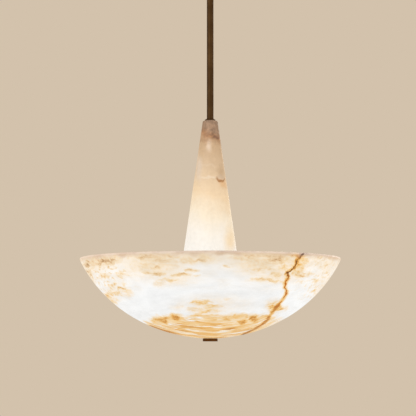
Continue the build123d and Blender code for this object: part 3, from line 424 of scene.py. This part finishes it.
def bowl_alabaster():
    """Alabaster, turned and polished, with the lamps lit behind it: a milky white stone with honey clouds
    near the rim, a streaked amber foot and one iron-brown vein, and unlit tan along the rim."""
    material, tree, shader = finish_named(
        "alabaster_turned_polished_lit_bowl", IOR=STONE_IOR, Emission_Strength=0.68)
    at = bowl_place(tree)
    honey, thin_wisps = honey_clouds(tree, at)
    flecks = rust_flecks(tree, at)
    honey = put(tree, "Math", {0: honey, 1: flecks}, "ADD")
    vein = iron_vein(tree, at)

    # Right of the vein the foot pales to cream.
    foot = amber_foot(tree, at, thin_wisps)
    past_vein = put(tree, "MapRange", {0: vein.right_of, 1: -0.004, 2: 0.026, 3: 1.0, 4: 0.60})
    foot = put(tree, "Math", {0: foot, 1: past_vein}, "MULTIPLY")
    honey = put(tree, "Math", {0: honey, 1: foot}, "MAXIMUM")
    honey = put(tree, "Math", {0: honey, 1: vein.halo}, "ADD", use_clamp=True)
    lit = honey_colours(tree, at, honey, vein.off)
    lit = unlit_rim(tree, at, lit)

    # The vein is grey on the lip and dark brown below it, turns to rust a third of the way down, and darkens
    # again beside the foot.
    vein_colour = put(tree, "ValToRGB", {0: at.depth})
    colour_stops(vein_colour, ((0.0, "#7E6656"), (0.06, "#6A3E18"), (0.23, "#7A4410"), (0.32, "#C06800"),
                               (0.6, "#C4700C"), (0.85, "#C47410"), (0.91, "#A8640F"), (0.95, "#5C421E")))
    lit = put(tree, "Mix", {0: vein.core, 6: lit, 7: vein_colour}, "RGBA", out=2)

    # A grey haze clouds the white in low waves, 34 mm long and a third as high.
    haze_place = put(tree, "Mapping", {"Vector": at.drifted, "Scale": (0.034, 0.034, 0.012)}, "TEXTURE")
    haze = put(tree, "TexNoise", {"Vector": haze_place, "Scale": 1.0, "Detail": 5.0, "Roughness": 0.65})
    haze = put(tree, "MapRange", {0: haze, 1: 0.3, 2: 0.6, 3: 0.90, 4: 1.0})
    lit = put(tree, "VectorMath", {0: lit, "Scale": haze}, "SCALE")

    # The lamps stand nearest the stone at its sides, and the cone's foot keeps light from the middle.
    light = put(tree, "MapRange", {0: at.off_axis, 1: 0.10, 2: 0.20, 3: 1.0, 4: 1.04})
    dimmed = in_places(tree, at.stone, DIM_PLACES, edge=1.2, core=0.2)
    light = put(tree, "Math", {0: light, 1: dimmed}, "SUBTRACT")
    lit = put(tree, "VectorMath", {0: lit, "Scale": light}, "SCALE")

    crystals, grain = crystal_grain(tree, at.stone)
    shine = put(tree, "MapRange", {0: crystals, 1: 0.3, 2: 0.7, 3: 0.36, 4: 0.5})

    # The inside glows less by itself than the outside, and warmer, in the light of the lamps.
    facing = put(tree, "TexCoord", out="Normal")
    foot_arc_centre = (0, 0, BOWL_FOOT_ARC - BOWL_DEPTH)
    from_centre = put(tree, "VectorMath", {0: at.stone, 1: foot_arc_centre}, "SUBTRACT")
    outward = put(tree, "VectorMath", {0: facing, 1: from_centre}, "DOT_PRODUCT", out="Value")
    outside = put(tree, "MapRange", {0: outward, 1: -0.05, 2: 0.05})
    lamplit = put(tree, "VectorMath", {0: lit, 1: (0.66, 0.54, 0.38)}, "MULTIPLY")
    glow = put(tree, "Mix", {0: outside, 6: lamplit, 7: lit}, "RGBA", out=2)
    own = put(tree, "VectorMath", {0: lit, 1: (0.55, 0.55, 0.55)}, "MULTIPLY")
    link_shader(tree, shader, Base_Color=own, Emission_Color=glow, Roughness=shine, Normal=grain)
    return material


def cream_bands(tree, stone, glow):
    """Two faint cream bands that cross the cone, about 5 mm high, and run on round its back."""
    wave = put(tree, "TexNoise", {"Vector": stone, "Scale": spaced(24)})
    wave = put(tree, "MapRange", {0: wave, 1: 0.3, 2: 0.7, 3: -0.006, 4: 0.006})
    height = put(tree, "VectorMath", {0: stone, 1: (0.08, 0, 1)}, "DOT_PRODUCT", out="Value")
    height = put(tree, "Math", {0: height, 1: wave}, "ADD")
    across = put(tree, "SeparateXYZ", {0: stone}, out="X")
    right_end = put(tree, "MapRange", {0: across, 1: 0.016, 2: 0.006})
    left_end = put(tree, "MapRange", {0: across, 1: -0.026, 2: -0.008, 3: 0.25, 4: 1.0})
    for band_height, strength in CREAM_BANDS:
        off_band = put(tree, "Math", {0: height, 1: band_height}, "SUBTRACT")
        off_band = put(tree, "Math", {0: off_band}, "ABSOLUTE")
        band = put(tree, "MapRange", {0: off_band, 1: 0.0040, 2: 0.0006, 3: 0.0, 4: strength}, "SMOOTHSTEP")
        band = put(tree, "Math", {0: band, 1: right_end}, "MULTIPLY")
        band = put(tree, "Math", {0: band, 1: left_end}, "MULTIPLY")
        glow = put(tree, "Mix", {0: band, 6: glow, 7: linear("#FFF4E2")}, "RGBA", out=2)
    return glow


def cone_marks(tree, stone, feathered):
    """Marks on the cone's front: how strongly each shows, and the colours it gives the lamplight and the
    stone."""
    ragged = put(tree, "TexNoise", {"Vector": stone, "Scale": spaced(8), "Detail": 4.0, "Roughness": 0.6},
                 out="Color")
    ragged = put(tree, "VectorMath", {0: ragged, 1: (0.007, 0.0, 0.007), 2: stone}, "MULTIPLY_ADD")
    ragged = put(tree, "VectorMath", {0: ragged, 1: (0.0035, 0.0, 0.0035)}, "SUBTRACT")

    # The curled vein is a brown crescent round a grey heart.
    heart = in_places(tree, ragged, ((20.5, -154, 7, 6, 1.0),), edge=1.15, core=0.7)
    crescent = in_places(tree, ragged, ((20, -151, 8.5, 7, 1.0),), edge=1.15, core=0.7)
    crescent = put(tree, "Math", {0: crescent, 1: heart}, "SUBTRACT", use_clamp=True)
    return (
        # A pale bloom high up, an amber stain low on the right and a pale streak down the left.
        (in_places(tree, feathered, ((-2, -216, 7, 14, 0.5),), edge=1.2, core=0.0), "#F6E4D2", "#D4C0AC"),
        (in_places(tree, feathered, ((38, -34, 14, 34, 0.75),), edge=1.2, core=0.1), "#F3D29A", "#CBBCA8"),
        (in_places(tree, feathered, ((-21, -172, 8, 32, 0.85),), edge=1.3, core=0.0), "#CABBAA", "#CDB8A2"),
        # Painted shade, brown, on the cone's right side above the curled vein, and honey and amber run out
        # below it.
        (in_places(tree, feathered, ((21, -166, 9, 14, 0.65),), edge=1.3, core=0.0), "#94703C", "#C4AB90"),
        (in_places(tree, feathered, ((24, -141, 9, 13, 0.55),), edge=1.3, core=0.0), "#D89C50", "#C4A07C"),
        (in_places(tree, ragged, ((20, -147, 7, 4, 0.7),), edge=1.3, core=0.0), "#B4762C", "#B88C5C"),
        (put(tree, "Math", {0: heart, 1: 0.5}, "MULTIPLY"), "#A88C70", "#C8B4A0"),
        (put(tree, "Math", {0: crescent, 1: 0.85}, "MULTIPLY"), "#845426", "#A8784C"),
        # Painted shade under the unlit top, where almost no lamplight comes through: it darkens the glow and
        # the stone's own colour.
        (in_places(tree, feathered, ((11, -232, 9, 5, 0.8), (3, -238, 6, 3, 0.45)), edge=1.3, core=0.1),
         "#2C1A10", "#8A6450"),
    )


def cone_alabaster():
    """The same alabaster in the cone: cream white where the lamps light its foot, honey higher up, with one
    curled vein, and its own greyish tan over a dark smudge at the top, where no light comes through."""
    material, tree, shader = finish_named(
        "alabaster_turned_satin_lit_cone", Roughness=0.5, IOR=STONE_IOR, Emission_Strength=0.575)
    place = put(tree, "TexCoord", out="Object")
    stone = put(tree, "Mapping", {"Vector": place, "Location": (0, 0, -RIM_Z)})
    front = put(tree, "SeparateXYZ", {0: stone}, out="Y")
    in_front = put(tree, "MapRange", {0: front, 1: 0.004, 2: -0.004})

    # Layers that sink to the right, feathered over 34 mm: they set how much lamplight comes through.
    feather = put(tree, "TexNoise", {"Vector": stone, "Scale": spaced(34), "Detail": 5.0, "Roughness": 0.62},
                  out="Color")
    feathered = put(tree, "VectorMath", {0: feather, 1: (0.012, 0.012, 0.036), 2: stone}, "MULTIPLY_ADD")
    feathered = put(tree, "VectorMath", {0: feathered, 1: (0.006, 0.006, 0.018)}, "SUBTRACT")
    height = put(tree, "VectorMath", {0: feathered, 1: (0.3, 0, 1)}, "DOT_PRODUCT", out="Value")
    height = put(tree, "MapRange", {0: height, 1: 0.0, 2: CONE_ABOVE_RIM})
    own = put(tree, "ValToRGB", {0: height})
    colour_stops(own, ((0.0, "#CEC8C2"), (0.16, "#CEC7BD"), (0.31, "#CDC2B5"), (0.45, "#CBBCA8"),
                       (0.65, "#C8B39B"), (0.82, "#C8AD91"), (0.885, "#BC8E68"), (0.93, "#BA977A"),
                       (1.0, "#BA987C")))
    glow = put(tree, "ValToRGB", {0: height})
    colour_stops(glow, ((0.0, "#E9ECEA"), (0.16, "#EFECE4"), (0.31, "#F1E2C4"), (0.45, "#EAC898"),
                        (0.65, "#C2A37A"), (0.82, "#A28258"), (0.885, "#5E3C20"), (0.92, "#382A1C"),
                        (1.0, "#120E0A")))
    glow = cream_bands(tree, stone, glow)
    for mark, glow_colour, own_colour in cone_marks(tree, stone, feathered):
        mark = put(tree, "Math", {0: mark, 1: in_front}, "MULTIPLY")
        glow = put(tree, "Mix", {0: mark, 6: glow, 7: linear(glow_colour)}, "RGBA", out=2)
        own = put(tree, "Mix", {0: mark, 6: own, 7: linear(own_colour)}, "RGBA", out=2)

    # Cloudy spots 7 mm across, strong where the stone is unlit and faint below.
    spots = put(tree, "TexNoise", {"Vector": stone, "Scale": spaced(7), "Detail": 5.0, "Roughness": 0.65})
    spots = put(tree, "MapRange", {0: spots, 1: 0.3, 2: 0.7, 3: -0.42, 4: 0.42})
    unlit = put(tree, "MapRange", {0: height, 1: 0.80, 2: 0.93, 3: 0.12, 4: 1.0})
    spots = put(tree, "Math", {0: spots, 1: unlit}, "MULTIPLY")
    shade = put(tree, "Math", {0: spots, 1: 1.0}, "ADD")
    glow = put(tree, "VectorMath", {0: glow, "Scale": shade}, "SCALE")
    own = put(tree, "VectorMath", {0: own, "Scale": shade}, "SCALE")
    _, grain = crystal_grain(tree, stone)
    link_shader(tree, shader, Base_Color=own, Emission_Color=glow, Normal=grain)
    return material


def worked_metal(name, tones, cloud, lines, line_stretch, shine, worn=None):
    """A metal with soft clouds in its tone and fine working lines: cloud and lines are their sizes in mm, and
    line_stretch draws the lines out along an axis. shine is how rough it is where smoothest and where
    roughest. worn is the height below which hands have rubbed it, and its colour there."""
    material, tree, shader = finish_named(name, Metallic=1.0)
    place = put(tree, "TexCoord", out="Object")
    clouds = put(tree, "TexNoise", {"Vector": place, "Scale": spaced(cloud), "Detail": 5.0, "Roughness": 0.6})
    drawn = put(tree, "Mapping", {"Vector": place, "Scale": line_stretch})
    marks = put(tree, "TexNoise", {"Vector": drawn, "Scale": spaced(lines), "Detail": 3.0, "Roughness": 0.55})
    both = put(tree, "Mix", {0: 0.3, 2: clouds, 3: marks})
    colour = put(tree, "ValToRGB", {0: both})
    colour_stops(colour, tones)
    if worn:
        worn_below, worn_colour = worn
        height = put(tree, "SeparateXYZ", {0: place}, out="Z")
        rubbed = put(tree, "MapRange", {0: height, 1: worn_below, 2: worn_below - MM})
        colour = put(tree, "Mix", {0: rubbed, 6: colour, 7: linear(worn_colour)}, "RGBA", out=2)
    smoothest, roughest = shine
    rough = put(tree, "MapRange", {0: both, 1: 0.3, 2: 0.7, 3: roughest, 4: smoothest})
    relief = put(tree, "Bump", {"Height": marks, "Strength": 0.08, "Distance": 0.4 * MM})
    link_shader(tree, shader, Base_Color=colour, Roughness=rough, Normal=relief)
    return material


def moulded(name, tones, cloud, grain, shine, bump=0.1, **principled):
    """A moulded, extruded or glazed surface: close tones in soft clouds, and a grain that breaks the shine.
    cloud and grain are their sizes in mm, and shine is how rough it is where smoothest and where roughest."""
    material, tree, shader = finish_named(name, **principled)
    place = put(tree, "TexCoord", out="Object")
    clouds = put(tree, "TexNoise", {"Vector": place, "Scale": spaced(cloud), "Detail": 4.0, "Roughness": 0.6})
    colour = put(tree, "ValToRGB", {0: clouds})
    colour_stops(colour, tones)
    grains = put(tree, "TexNoise", {"Vector": place, "Scale": spaced(grain)})
    smoothest, roughest = shine
    rough = put(tree, "MapRange", {0: grains, 1: 0.3, 2: 0.7, 3: smoothest, 4: roughest})
    relief = put(tree, "Bump", {"Height": grains, "Strength": bump, "Distance": 0.3 * MM})
    link_shader(tree, shader, Base_Color=colour, Roughness=rough, Normal=relief)
    return material


WIRE_PITCH = 2.3 * MM            # spacing of the three wires in the swivel's neck
EARTH_STRIPES = 5 * MM
WAVE_REPEAT = 2 * math.pi / 10   # length over which a diagonal wave texture repeats, at a scale of 1


def wire_pvc():
    """PVC insulation, extruded: glossy brown, green with yellow stripes and blue, one colour to each wire.
    The wires run side by side, so their place across tells them apart."""
    material, tree, shader = finish_named("pvc_extruded_wire_colours", IOR=1.53)
    place = put(tree, "TexCoord", out="Object")
    across = put(tree, "SeparateXYZ", {0: place}, out="X")
    half_width = 1.5 * WIRE_PITCH
    which = put(tree, "MapRange", {0: across, 1: -half_width, 2: half_width})
    stripes = put(tree, "TexWave", {"Vector": place, "Scale": WAVE_REPEAT / EARTH_STRIPES},
                  bands_direction="DIAGONAL")
    earth = put(tree, "ValToRGB", {0: stripes})
    wires = put(tree, "ValToRGB", {0: which})
    middle = put(tree, "ValToRGB", {0: which})
    for ramp, stops in (
        (earth, ((0.0, "#3C8A3E"), (0.5, "#D9C23A"))),
        (wires, ((0.0, "#6A4028"), (0.5, "#2E5C9A"))),
        (middle, ((0.0, "#000000"), (0.334, "#FFFFFF"), (0.667, "#000000"))),
    ):
        ramp.node.color_ramp.interpolation = "CONSTANT"
        colour_stops(ramp, stops)
    colour = put(tree, "Mix", {0: middle, 6: wires, 7: earth}, "RGBA", out=2)
    skin = put(tree, "TexNoise", {"Vector": place, "Scale": spaced(1.5)})
    rough = put(tree, "MapRange", {0: skin, 1: 0.3, 2: 0.7, 3: 0.28, 4: 0.42})
    link_shader(tree, shader, Base_Color=colour, Roughness=rough)
    return material


GLOBE_DIMMEST = 0.0835   # distance from the rod's axis, 2 mm short of the globes
GLOBE_FULL = 0.105       # and where they have come to their full light


def opal_globe():
    """Opal polycarbonate, moulded, with the board lit inside: an even warm white that falls off towards the
    neck, under a satin skin."""
    material, tree, shader = finish_named("polycarbonate_opal_lit", IOR=1.58, Emission_Strength=0.75)
    place = put(tree, "TexCoord", out="Object")
    level = put(tree, "Mapping", {"Vector": place, "Scale": (1, 1, 0)})
    reach = put(tree, "VectorMath", {0: level}, "LENGTH", out="Value")
    toward_tip = put(tree, "MapRange", {0: reach, 1: GLOBE_DIMMEST, 2: GLOBE_FULL})
    glow = put(tree, "ValToRGB", {0: toward_tip})
    colour_stops(glow, ((0.0, "#E4CFA8"), (0.35, "#F8EBD2"), (1.0, "#FFFBF2")))
    skin = put(tree, "TexNoise", {"Vector": place, "Scale": spaced(6), "Detail": 3.0})
    own = put(tree, "ValToRGB", {0: skin})
    colour_stops(own, ((0.3, "#B9B4AA"), (0.7, "#C4C0B8")))
    rough = put(tree, "MapRange", {0: skin, 1: 0.3, 2: 0.7, 3: 0.3, 4: 0.42})
    link_shader(tree, shader, Base_Color=own, Emission_Color=glow, Roughness=rough)
    return material


FINISHES = {
    "alabaster_bowl": bowl_alabaster(),
    "alabaster_cone": cone_alabaster(),
    # Brass, darkened in a patina bath and waxed: dark satin brown, clouded by the bath over 26 mm, with
    # drawing lines down the rod. Real ones are a few tenths apart, and these 1.4 mm, so that they show. The
    # finial is rubbed warmer, where hands unscrew it.
    "antique_bronze": worked_metal(
        "brass_dark_patina_waxed", ((0.34, "#533E27"), (0.5, "#59432B"), (0.64, "#614A2F")),
        cloud=26, lines=1.4, line_stretch=(1, 1, 0.04), shine=(0.48, 0.62),
        worn=(RIM_Z - BOWL_DEPTH, "#6F4A23")),
    # Steel, zinc plated and blue passivated: cool pale grey with a breath of straw, satin from the bath.
    "zinc_steel": worked_metal(
        "steel_zinc_plated_passivated", ((0.34, "#A9AEB4"), (0.5, "#BDC0C2"), (0.66, "#C6C3B6")),
        cloud=12, lines=0.9, line_stretch=(1, 0.08, 1), shine=(0.28, 0.44)),
    # Brass, turned and left satin: yellow metal with fine tool lines round the axis.
    "satin_brass": worked_metal(
        "brass_turned_satin", ((0.34, "#A68645"), (0.5, "#BE9E5A"), (0.66, "#CBAF6E")),
        cloud=18, lines=0.8, line_stretch=(0.06, 0.06, 1), shine=(0.26, 0.4)),
    # Nickel plate on a rolled brass cap: bright warm grey.
    "bulb_nickel": worked_metal(
        "nickel_plated_rolled", ((0.34, "#B4AFA6"), (0.5, "#C8C3BA"), (0.66, "#D4D0C8")),
        cloud=7, lines=0.8, line_stretch=(0.1, 0.1, 1), shine=(0.18, 0.3)),
    # Silicone rubber, moulded: milky, soft and dull.
    "silicone": moulded(
        "silicone_moulded_milky", ((0.3, "#CFCDC6"), (0.7, "#E0DFDA")),
        cloud=8, grain=0.6, shine=(0.5, 0.65), IOR=1.41),
    # Polyamide, moulded in a spark-eroded tool: off-white with a fine sparkle.
    "terminal_plastic": moulded(
        "polyamide_moulded_offwhite", ((0.3, "#DCD6C8"), (0.7, "#EAE6DB")),
        cloud=9, grain=0.5, shine=(0.42, 0.58), IOR=1.53),
    "wire_insulation": wire_pvc(),
    # PVC sheath, extruded: dull black with a trace of brown.
    "cable_sheath": moulded(
        "pvc_extruded_black", ((0.3, "#1F1C1A"), (0.7, "#2E2A27")),
        cloud=10, grain=0.8, shine=(0.45, 0.6), IOR=1.53),
    # Circuit board under white solder resist: chalky, a little uneven.
    "led_board": moulded(
        "board_white_solder_resist", ((0.3, "#DADAD4"), (0.7, "#EDEDE8")),
        cloud=3, grain=0.5, shine=(0.35, 0.5), IOR=1.5),
    # Thermoset resin, compression moulded: warm black with a dull polish.
    "holder_black": moulded(
        "thermoset_moulded_black", ((0.3, "#191715"), (0.7, "#282522")),
        cloud=6, grain=0.6, shine=(0.32, 0.48), IOR=1.55),
    # Porcelain, glazed: clean white that takes a sharp highlight.
    "holder_ceramic": moulded(
        "porcelain_glazed_white", ((0.3, "#E6E2D8"), (0.7, "#F1EEE7")),
        cloud=5, grain=1.2, shine=(0.12, 0.2), bump=0.04, IOR=1.55),
    # PBT, moulded round the lamp's heat sink: clean white with a satin skin.
    "bulb_white": moulded(
        "pbt_moulded_white", ((0.3, "#DDDDD8"), (0.7, "#EBEBE7")),
        cloud=9, grain=0.6, shine=(0.36, 0.5), IOR=1.57),
    "bulb_opal": opal_globe(),
}
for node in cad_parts.values():
    slot_name = node.material_slots[0].material.name
    node.material_slots[0].material = FINISHES[slot_name]


def arc(centre, radius, start, end, count):
    """Points along an arc in the outline's plane, from one angle to another."""
    angles = [start + (end - start) * n / count for n in range(count + 1)]
    return [(centre[0] + radius * math.cos(a), centre[1] + radius * math.sin(a)) for a in angles]


def straight(start, end, count):
    """Points along a straight side of the outline, without its last."""
    return [tuple(a + (b - a) * n / count for a, b in zip(start, end)) for n in range(count)]


def draw_outline(name, outline):
    """Draws an outline of (radius, height) points in the xz plane by extruding one corner, and leaves it in
    edit mode with everything selected."""
    bpy.ops.object.select_all(action="DESELECT")
    first = (outline[0][0], 0, outline[0][1])
    bpy.ops.mesh.primitive_plane_add(size=MM, location=first)
    piece = bpy.context.object
    piece.name = piece.data.name = name
    bpy.ops.object.transform_apply(location=True, rotation=True, scale=True)
    bpy.ops.object.mode_set(mode="EDIT")
    bpy.ops.mesh.select_mode(type="VERT")
    bpy.ops.mesh.merge(type="CENTER")
    for (r0, z0), (r1, z1) in zip(outline, outline[1:]):
        bpy.ops.mesh.extrude_vertices_move(TRANSFORM_OT_translate={"value": (r1 - r0, 0, z1 - z0)})
    bpy.ops.mesh.select_all(action="SELECT")
    return piece


def clean_mesh():
    """Merges what the spin or screw left double, and turns every face outwards."""
    bpy.ops.mesh.select_all(action="SELECT")
    bpy.ops.mesh.remove_doubles(threshold=MERGE_REACH)
    bpy.ops.mesh.normals_make_consistent(inside=False)


def turn(name, outline):
    """Spins a closed outline round the rod's axis, as on a lathe."""
    piece = draw_outline(name, outline + outline[:1])
    bpy.ops.mesh.remove_doubles(threshold=MERGE_REACH)
    bpy.ops.mesh.spin(steps=TURN_STEPS, angle=2 * math.pi, center=(0, 0, 0), axis=(0, 0, 1))
    clean_mesh()
    return piece


def round_ring(piece, radius, height, reach):
    """Rounds the turned edge that runs at one radius and height."""
    mesh = bmesh.from_edit_mesh(piece.data)
    bpy.ops.mesh.select_mode(type="EDGE")
    bpy.ops.mesh.select_all(action="DESELECT")
    for edge in mesh.edges:
        edge.select_set(all(abs(v.co.xy.length - radius) < RING_REACH and abs(v.co.z - height) < RING_REACH
                            for v in edge.verts))
    bmesh.update_edit_mesh(piece.data)
    bpy.ops.mesh.bevel(offset=reach, offset_type="OFFSET", segments=ROUND_SEGMENTS, affect="EDGES")


def hand_finish(piece, seat_radius, swells):
    """Leaves the faint swells of hand grinding in the walls outside the seats, only ever into the stone, and
    smooths the shading."""
    mesh = bmesh.from_edit_mesh(piece.data)
    bpy.ops.mesh.select_mode(type="VERT")
    bpy.ops.mesh.select_all(action="DESELECT")
    for vert in mesh.verts:
        vert.select_set(vert.co.xy.length > seat_radius)
    bmesh.update_edit_mesh(piece.data)
    bpy.ops.object.vertex_group_assign_new()
    bpy.ops.object.mode_set(mode="OBJECT")
    width, depth = swells
    clouds = bpy.data.textures.new(piece.name + "_swell", "CLOUDS")
    clouds.noise_scale = width
    grind = piece.modifiers.new("grind", "DISPLACE")
    grind.texture = clouds
    grind.strength = depth
    grind.mid_level = 1.0
    grind.vertex_group = piece.vertex_groups.active.name
    bpy.ops.object.modifier_apply(modifier=grind.name)
    bpy.ops.object.shade_smooth_by_angle(angle=STONE_SMOOTH)


def turned_bowl():
    """The bowl: two arcs outside, the same two a wall further in, ground seats and a hole at the foot."""
    foot_z = RIM_Z - BOWL_DEPTH
    foot_centre = (0, foot_z + BOWL_FOOT_ARC)
    side_centre = (BOWL_SIDE_CENTRE[0], RIM_Z + BOWL_SIDE_CENTRE[1])
    lowest = -math.pi / 2
    joint = lowest + BOWL_FOOT_ANGLE
    outline = [(BOWL_HOLE, foot_z + BOWL_SEAT_DEPTH), (BOWL_OUTER_SEAT, foot_z + BOWL_SEAT_DEPTH)]
    start = lowest + math.asin(BOWL_OUTER_SEAT / BOWL_FOOT_ARC)
    rim = -math.asin(BOWL_SIDE_CENTRE[1] / BOWL_SIDE_ARC)
    outline += arc(foot_centre, BOWL_FOOT_ARC, start, joint, FOOT_ARC_STEPS)
    outline += arc(side_centre, BOWL_SIDE_ARC, joint, rim, SIDE_ARC_STEPS)[1:]
    inner_foot = BOWL_FOOT_ARC - BOWL_WALL
    inner_side = BOWL_SIDE_ARC - BOWL_WALL
    inner_rim = -math.asin(BOWL_SIDE_CENTRE[1] / inner_side)
    inner_start = lowest + math.asin(BOWL_INNER_SEAT / inner_foot)
    outline += arc(side_centre, inner_side, inner_rim, joint, SIDE_ARC_STEPS)
    outline += arc(foot_centre, inner_foot, joint, inner_start, FOOT_ARC_STEPS)[1:]
    outline += [(BOWL_INNER_SEAT, foot_z + BOWL_WALL), (BOWL_HOLE, foot_z + BOWL_WALL)]
    piece = turn("bowl_turned", outline)
    round_ring(piece, BOWL_RADIUS, RIM_Z, RIM_OUTER_ROUND)
    inner_radius = BOWL_SIDE_CENTRE[0] + math.cos(inner_rim) * inner_side
    round_ring(piece, inner_radius, RIM_Z, RIM_INNER_ROUND)
    hand_finish(piece, BOWL_INNER_SEAT + MM, BOWL_SWELLS)
    return piece


def turned_cone():
    """The cone: a straight tapering wall, solid round the rod at its top."""
    head_z = CONE_TOP_Z - CONE_HEAD
    wall = CONE_FOOT_RADIUS - CONE_FOOT_INNER
    slope = (CONE_FOOT_RADIUS - CONE_TOP_RADIUS) / (CONE_TOP_Z - CONE_FOOT_Z)
    head_inner = CONE_TOP_RADIUS + CONE_HEAD * slope - wall
    outline = [(CONE_BORE, CONE_TOP_Z)]
    outline += straight((CONE_TOP_RADIUS, CONE_TOP_Z), (CONE_FOOT_RADIUS, CONE_FOOT_Z), CONE_OUTER_STEPS)
    outline += [(CONE_FOOT_RADIUS, CONE_FOOT_Z)]
    outline += straight((CONE_FOOT_INNER, CONE_FOOT_Z), (head_inner, head_z), CONE_INNER_STEPS)
    outline += [(head_inner, head_z), (CONE_BORE, head_z)]
    piece = turn("cone_turned", outline)
    round_ring(piece, CONE_TOP_RADIUS, CONE_TOP_Z, CONE_TOP_ROUND)
    hand_finish(piece, CONE_BORE + MM, CONE_SWELLS)
    return piece


def threaded_stem():
    """The stem between hub and finial: a rod with a thread cut from end to end."""
    low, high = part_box("bowl_stem")
    # One turn to spare at each end, which is cut off below.
    turns = math.ceil((high[2] - low[2]) / STEM_PITCH) + 2
    start_z = low[2] - STEM_PITCH
    piece = draw_outline("stem_threaded", [
        (STEM_RADIUS - into * STEM_TOOTH, start_z + along * STEM_PITCH) for along, into in STEM_PROFILE])
    bpy.ops.object.mode_set(mode="OBJECT")
    thread = piece.modifiers.new("thread", "SCREW")
    thread.screw_offset = STEM_PITCH
    thread.iterations = turns
    thread.steps = thread.render_steps = THREAD_STEPS
    bpy.ops.object.modifier_apply(modifier=thread.name)
    bpy.ops.object.mode_set(mode="EDIT")
    clean_mesh()
    for end, side in ((low[2], {"clear_inner": True}), (high[2], {"clear_outer": True})):
        bpy.ops.mesh.select_all(action="SELECT")
        bpy.ops.mesh.bisect(plane_co=(0, 0, end), plane_no=(0, 0, 1), use_fill=True, **side)
    clean_mesh()
    bpy.ops.object.mode_set(mode="OBJECT")
    bpy.ops.object.shade_smooth_by_angle(angle=THREAD_SMOOTH)
    return piece


for made, stands_for, slot in (
    (turned_bowl(), "alabaster_bowl", "alabaster_bowl"),
    (turned_cone(), "alabaster_cone", "alabaster_cone"),
    (threaded_stem(), "bowl_stem", "zinc_steel"),
):
    made.data.materials.append(FINISHES[slot])
    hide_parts(stands_for)
    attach(made, "pendant")

# Stage: a pale floor far below, a pale backdrop and soft light.
FLOOR_Z = -2.4
FLOOR_RADIUS = 25
SOFT_LIGHT = 0.5
BACKDROP = "#D3C2AC"
LAMP_AIM_Z = -0.55
LAMPS = (   # name, place and width in metres, power in watts
    ("key", (-1.8, -2.2, 0.4), 2.4, 22.0),
    ("fill", (2.2, -1.8, -0.8), 2.4, 12.0),
    ("back", (0.6, 2.6, 0.6), 2.0, 16.0),
)

# The camera stands 3 m in front, just under the bowl's foot, and looks up by 5 degrees.
CAMERA_PLACE = (-0.00423, -2.988, -0.7777)
CAMERA_TILT = math.radians(95.05)
CAMERA_LENS = 134.89   # mm, on a sensor 36 mm wide
CAMERA_FAR = 200.0     # how far it sees, m

bpy.ops.object.select_all(action="DESELECT")
bpy.ops.mesh.primitive_circle_add(
    vertices=96, radius=FLOOR_RADIUS, fill_type="NGON", location=(0, 0, FLOOR_Z))
floor = bpy.context.object
floor.name = "floor"
# Plaster, smoothed and left matt: a pale warm floor, which meets the camera as bright as the backdrop.
floor_finish, floor_tree, floor_shader = finish_named(
    "plaster_matt_floor", Roughness=0.9, Base_Color=linear("#DDD2C2"), Emission_Color=linear("#948168"))
eye = put(floor_tree, "LightPath", out="Is Camera Ray")
floor_tree.links.new(eye, floor_shader.inputs["Emission Strength"])
floor.data.materials.append(floor_finish)

# The world shows as the backdrop, straight and in reflections, and its light is a soft white.
world = bpy.data.worlds.new("studio")
bpy.context.scene.world = world
world.use_nodes = True
sky = world.node_tree
soft = put(sky, "Background", {"Color": linear("#FFFFFF"), "Strength": SOFT_LIGHT})
backdrop = put(sky, "Background", {"Color": linear(BACKDROP), "Strength": 1.0})
rays = put(sky, "LightPath", out="Is Camera Ray")
seen = put(sky, "Math", {0: rays, 1: rays.node.outputs["Is Glossy Ray"]}, "MAXIMUM")
seen = put(sky, "Math", {0: seen, 1: rays.node.outputs["Is Transmission Ray"]}, "MAXIMUM")
both = put(sky, "MixShader", {0: seen, 1: soft, 2: backdrop})
sky.links.new(both, sky.nodes["World Output"].inputs["Surface"])

for lamp_name, spot, size, power in LAMPS:
    bpy.ops.object.light_add(type="AREA", location=spot)
    lamp = bpy.context.object
    lamp.name = lamp_name
    lamp.data.size = size
    lamp.data.energy = power
    aim = -lamp.location
    aim.z += LAMP_AIM_Z
    lamp.rotation_euler = aim.to_track_quat("-Z", "Y").to_euler()

bpy.ops.object.camera_add(location=CAMERA_PLACE, rotation=(CAMERA_TILT, 0, 0))
camera = bpy.context.object
camera.data.lens = CAMERA_LENS
camera.data.sensor_width = 36.0
camera.data.clip_end = CAMERA_FAR
bpy.context.scene.camera = camera
bpy.context.scene.view_settings.view_transform = "Standard"
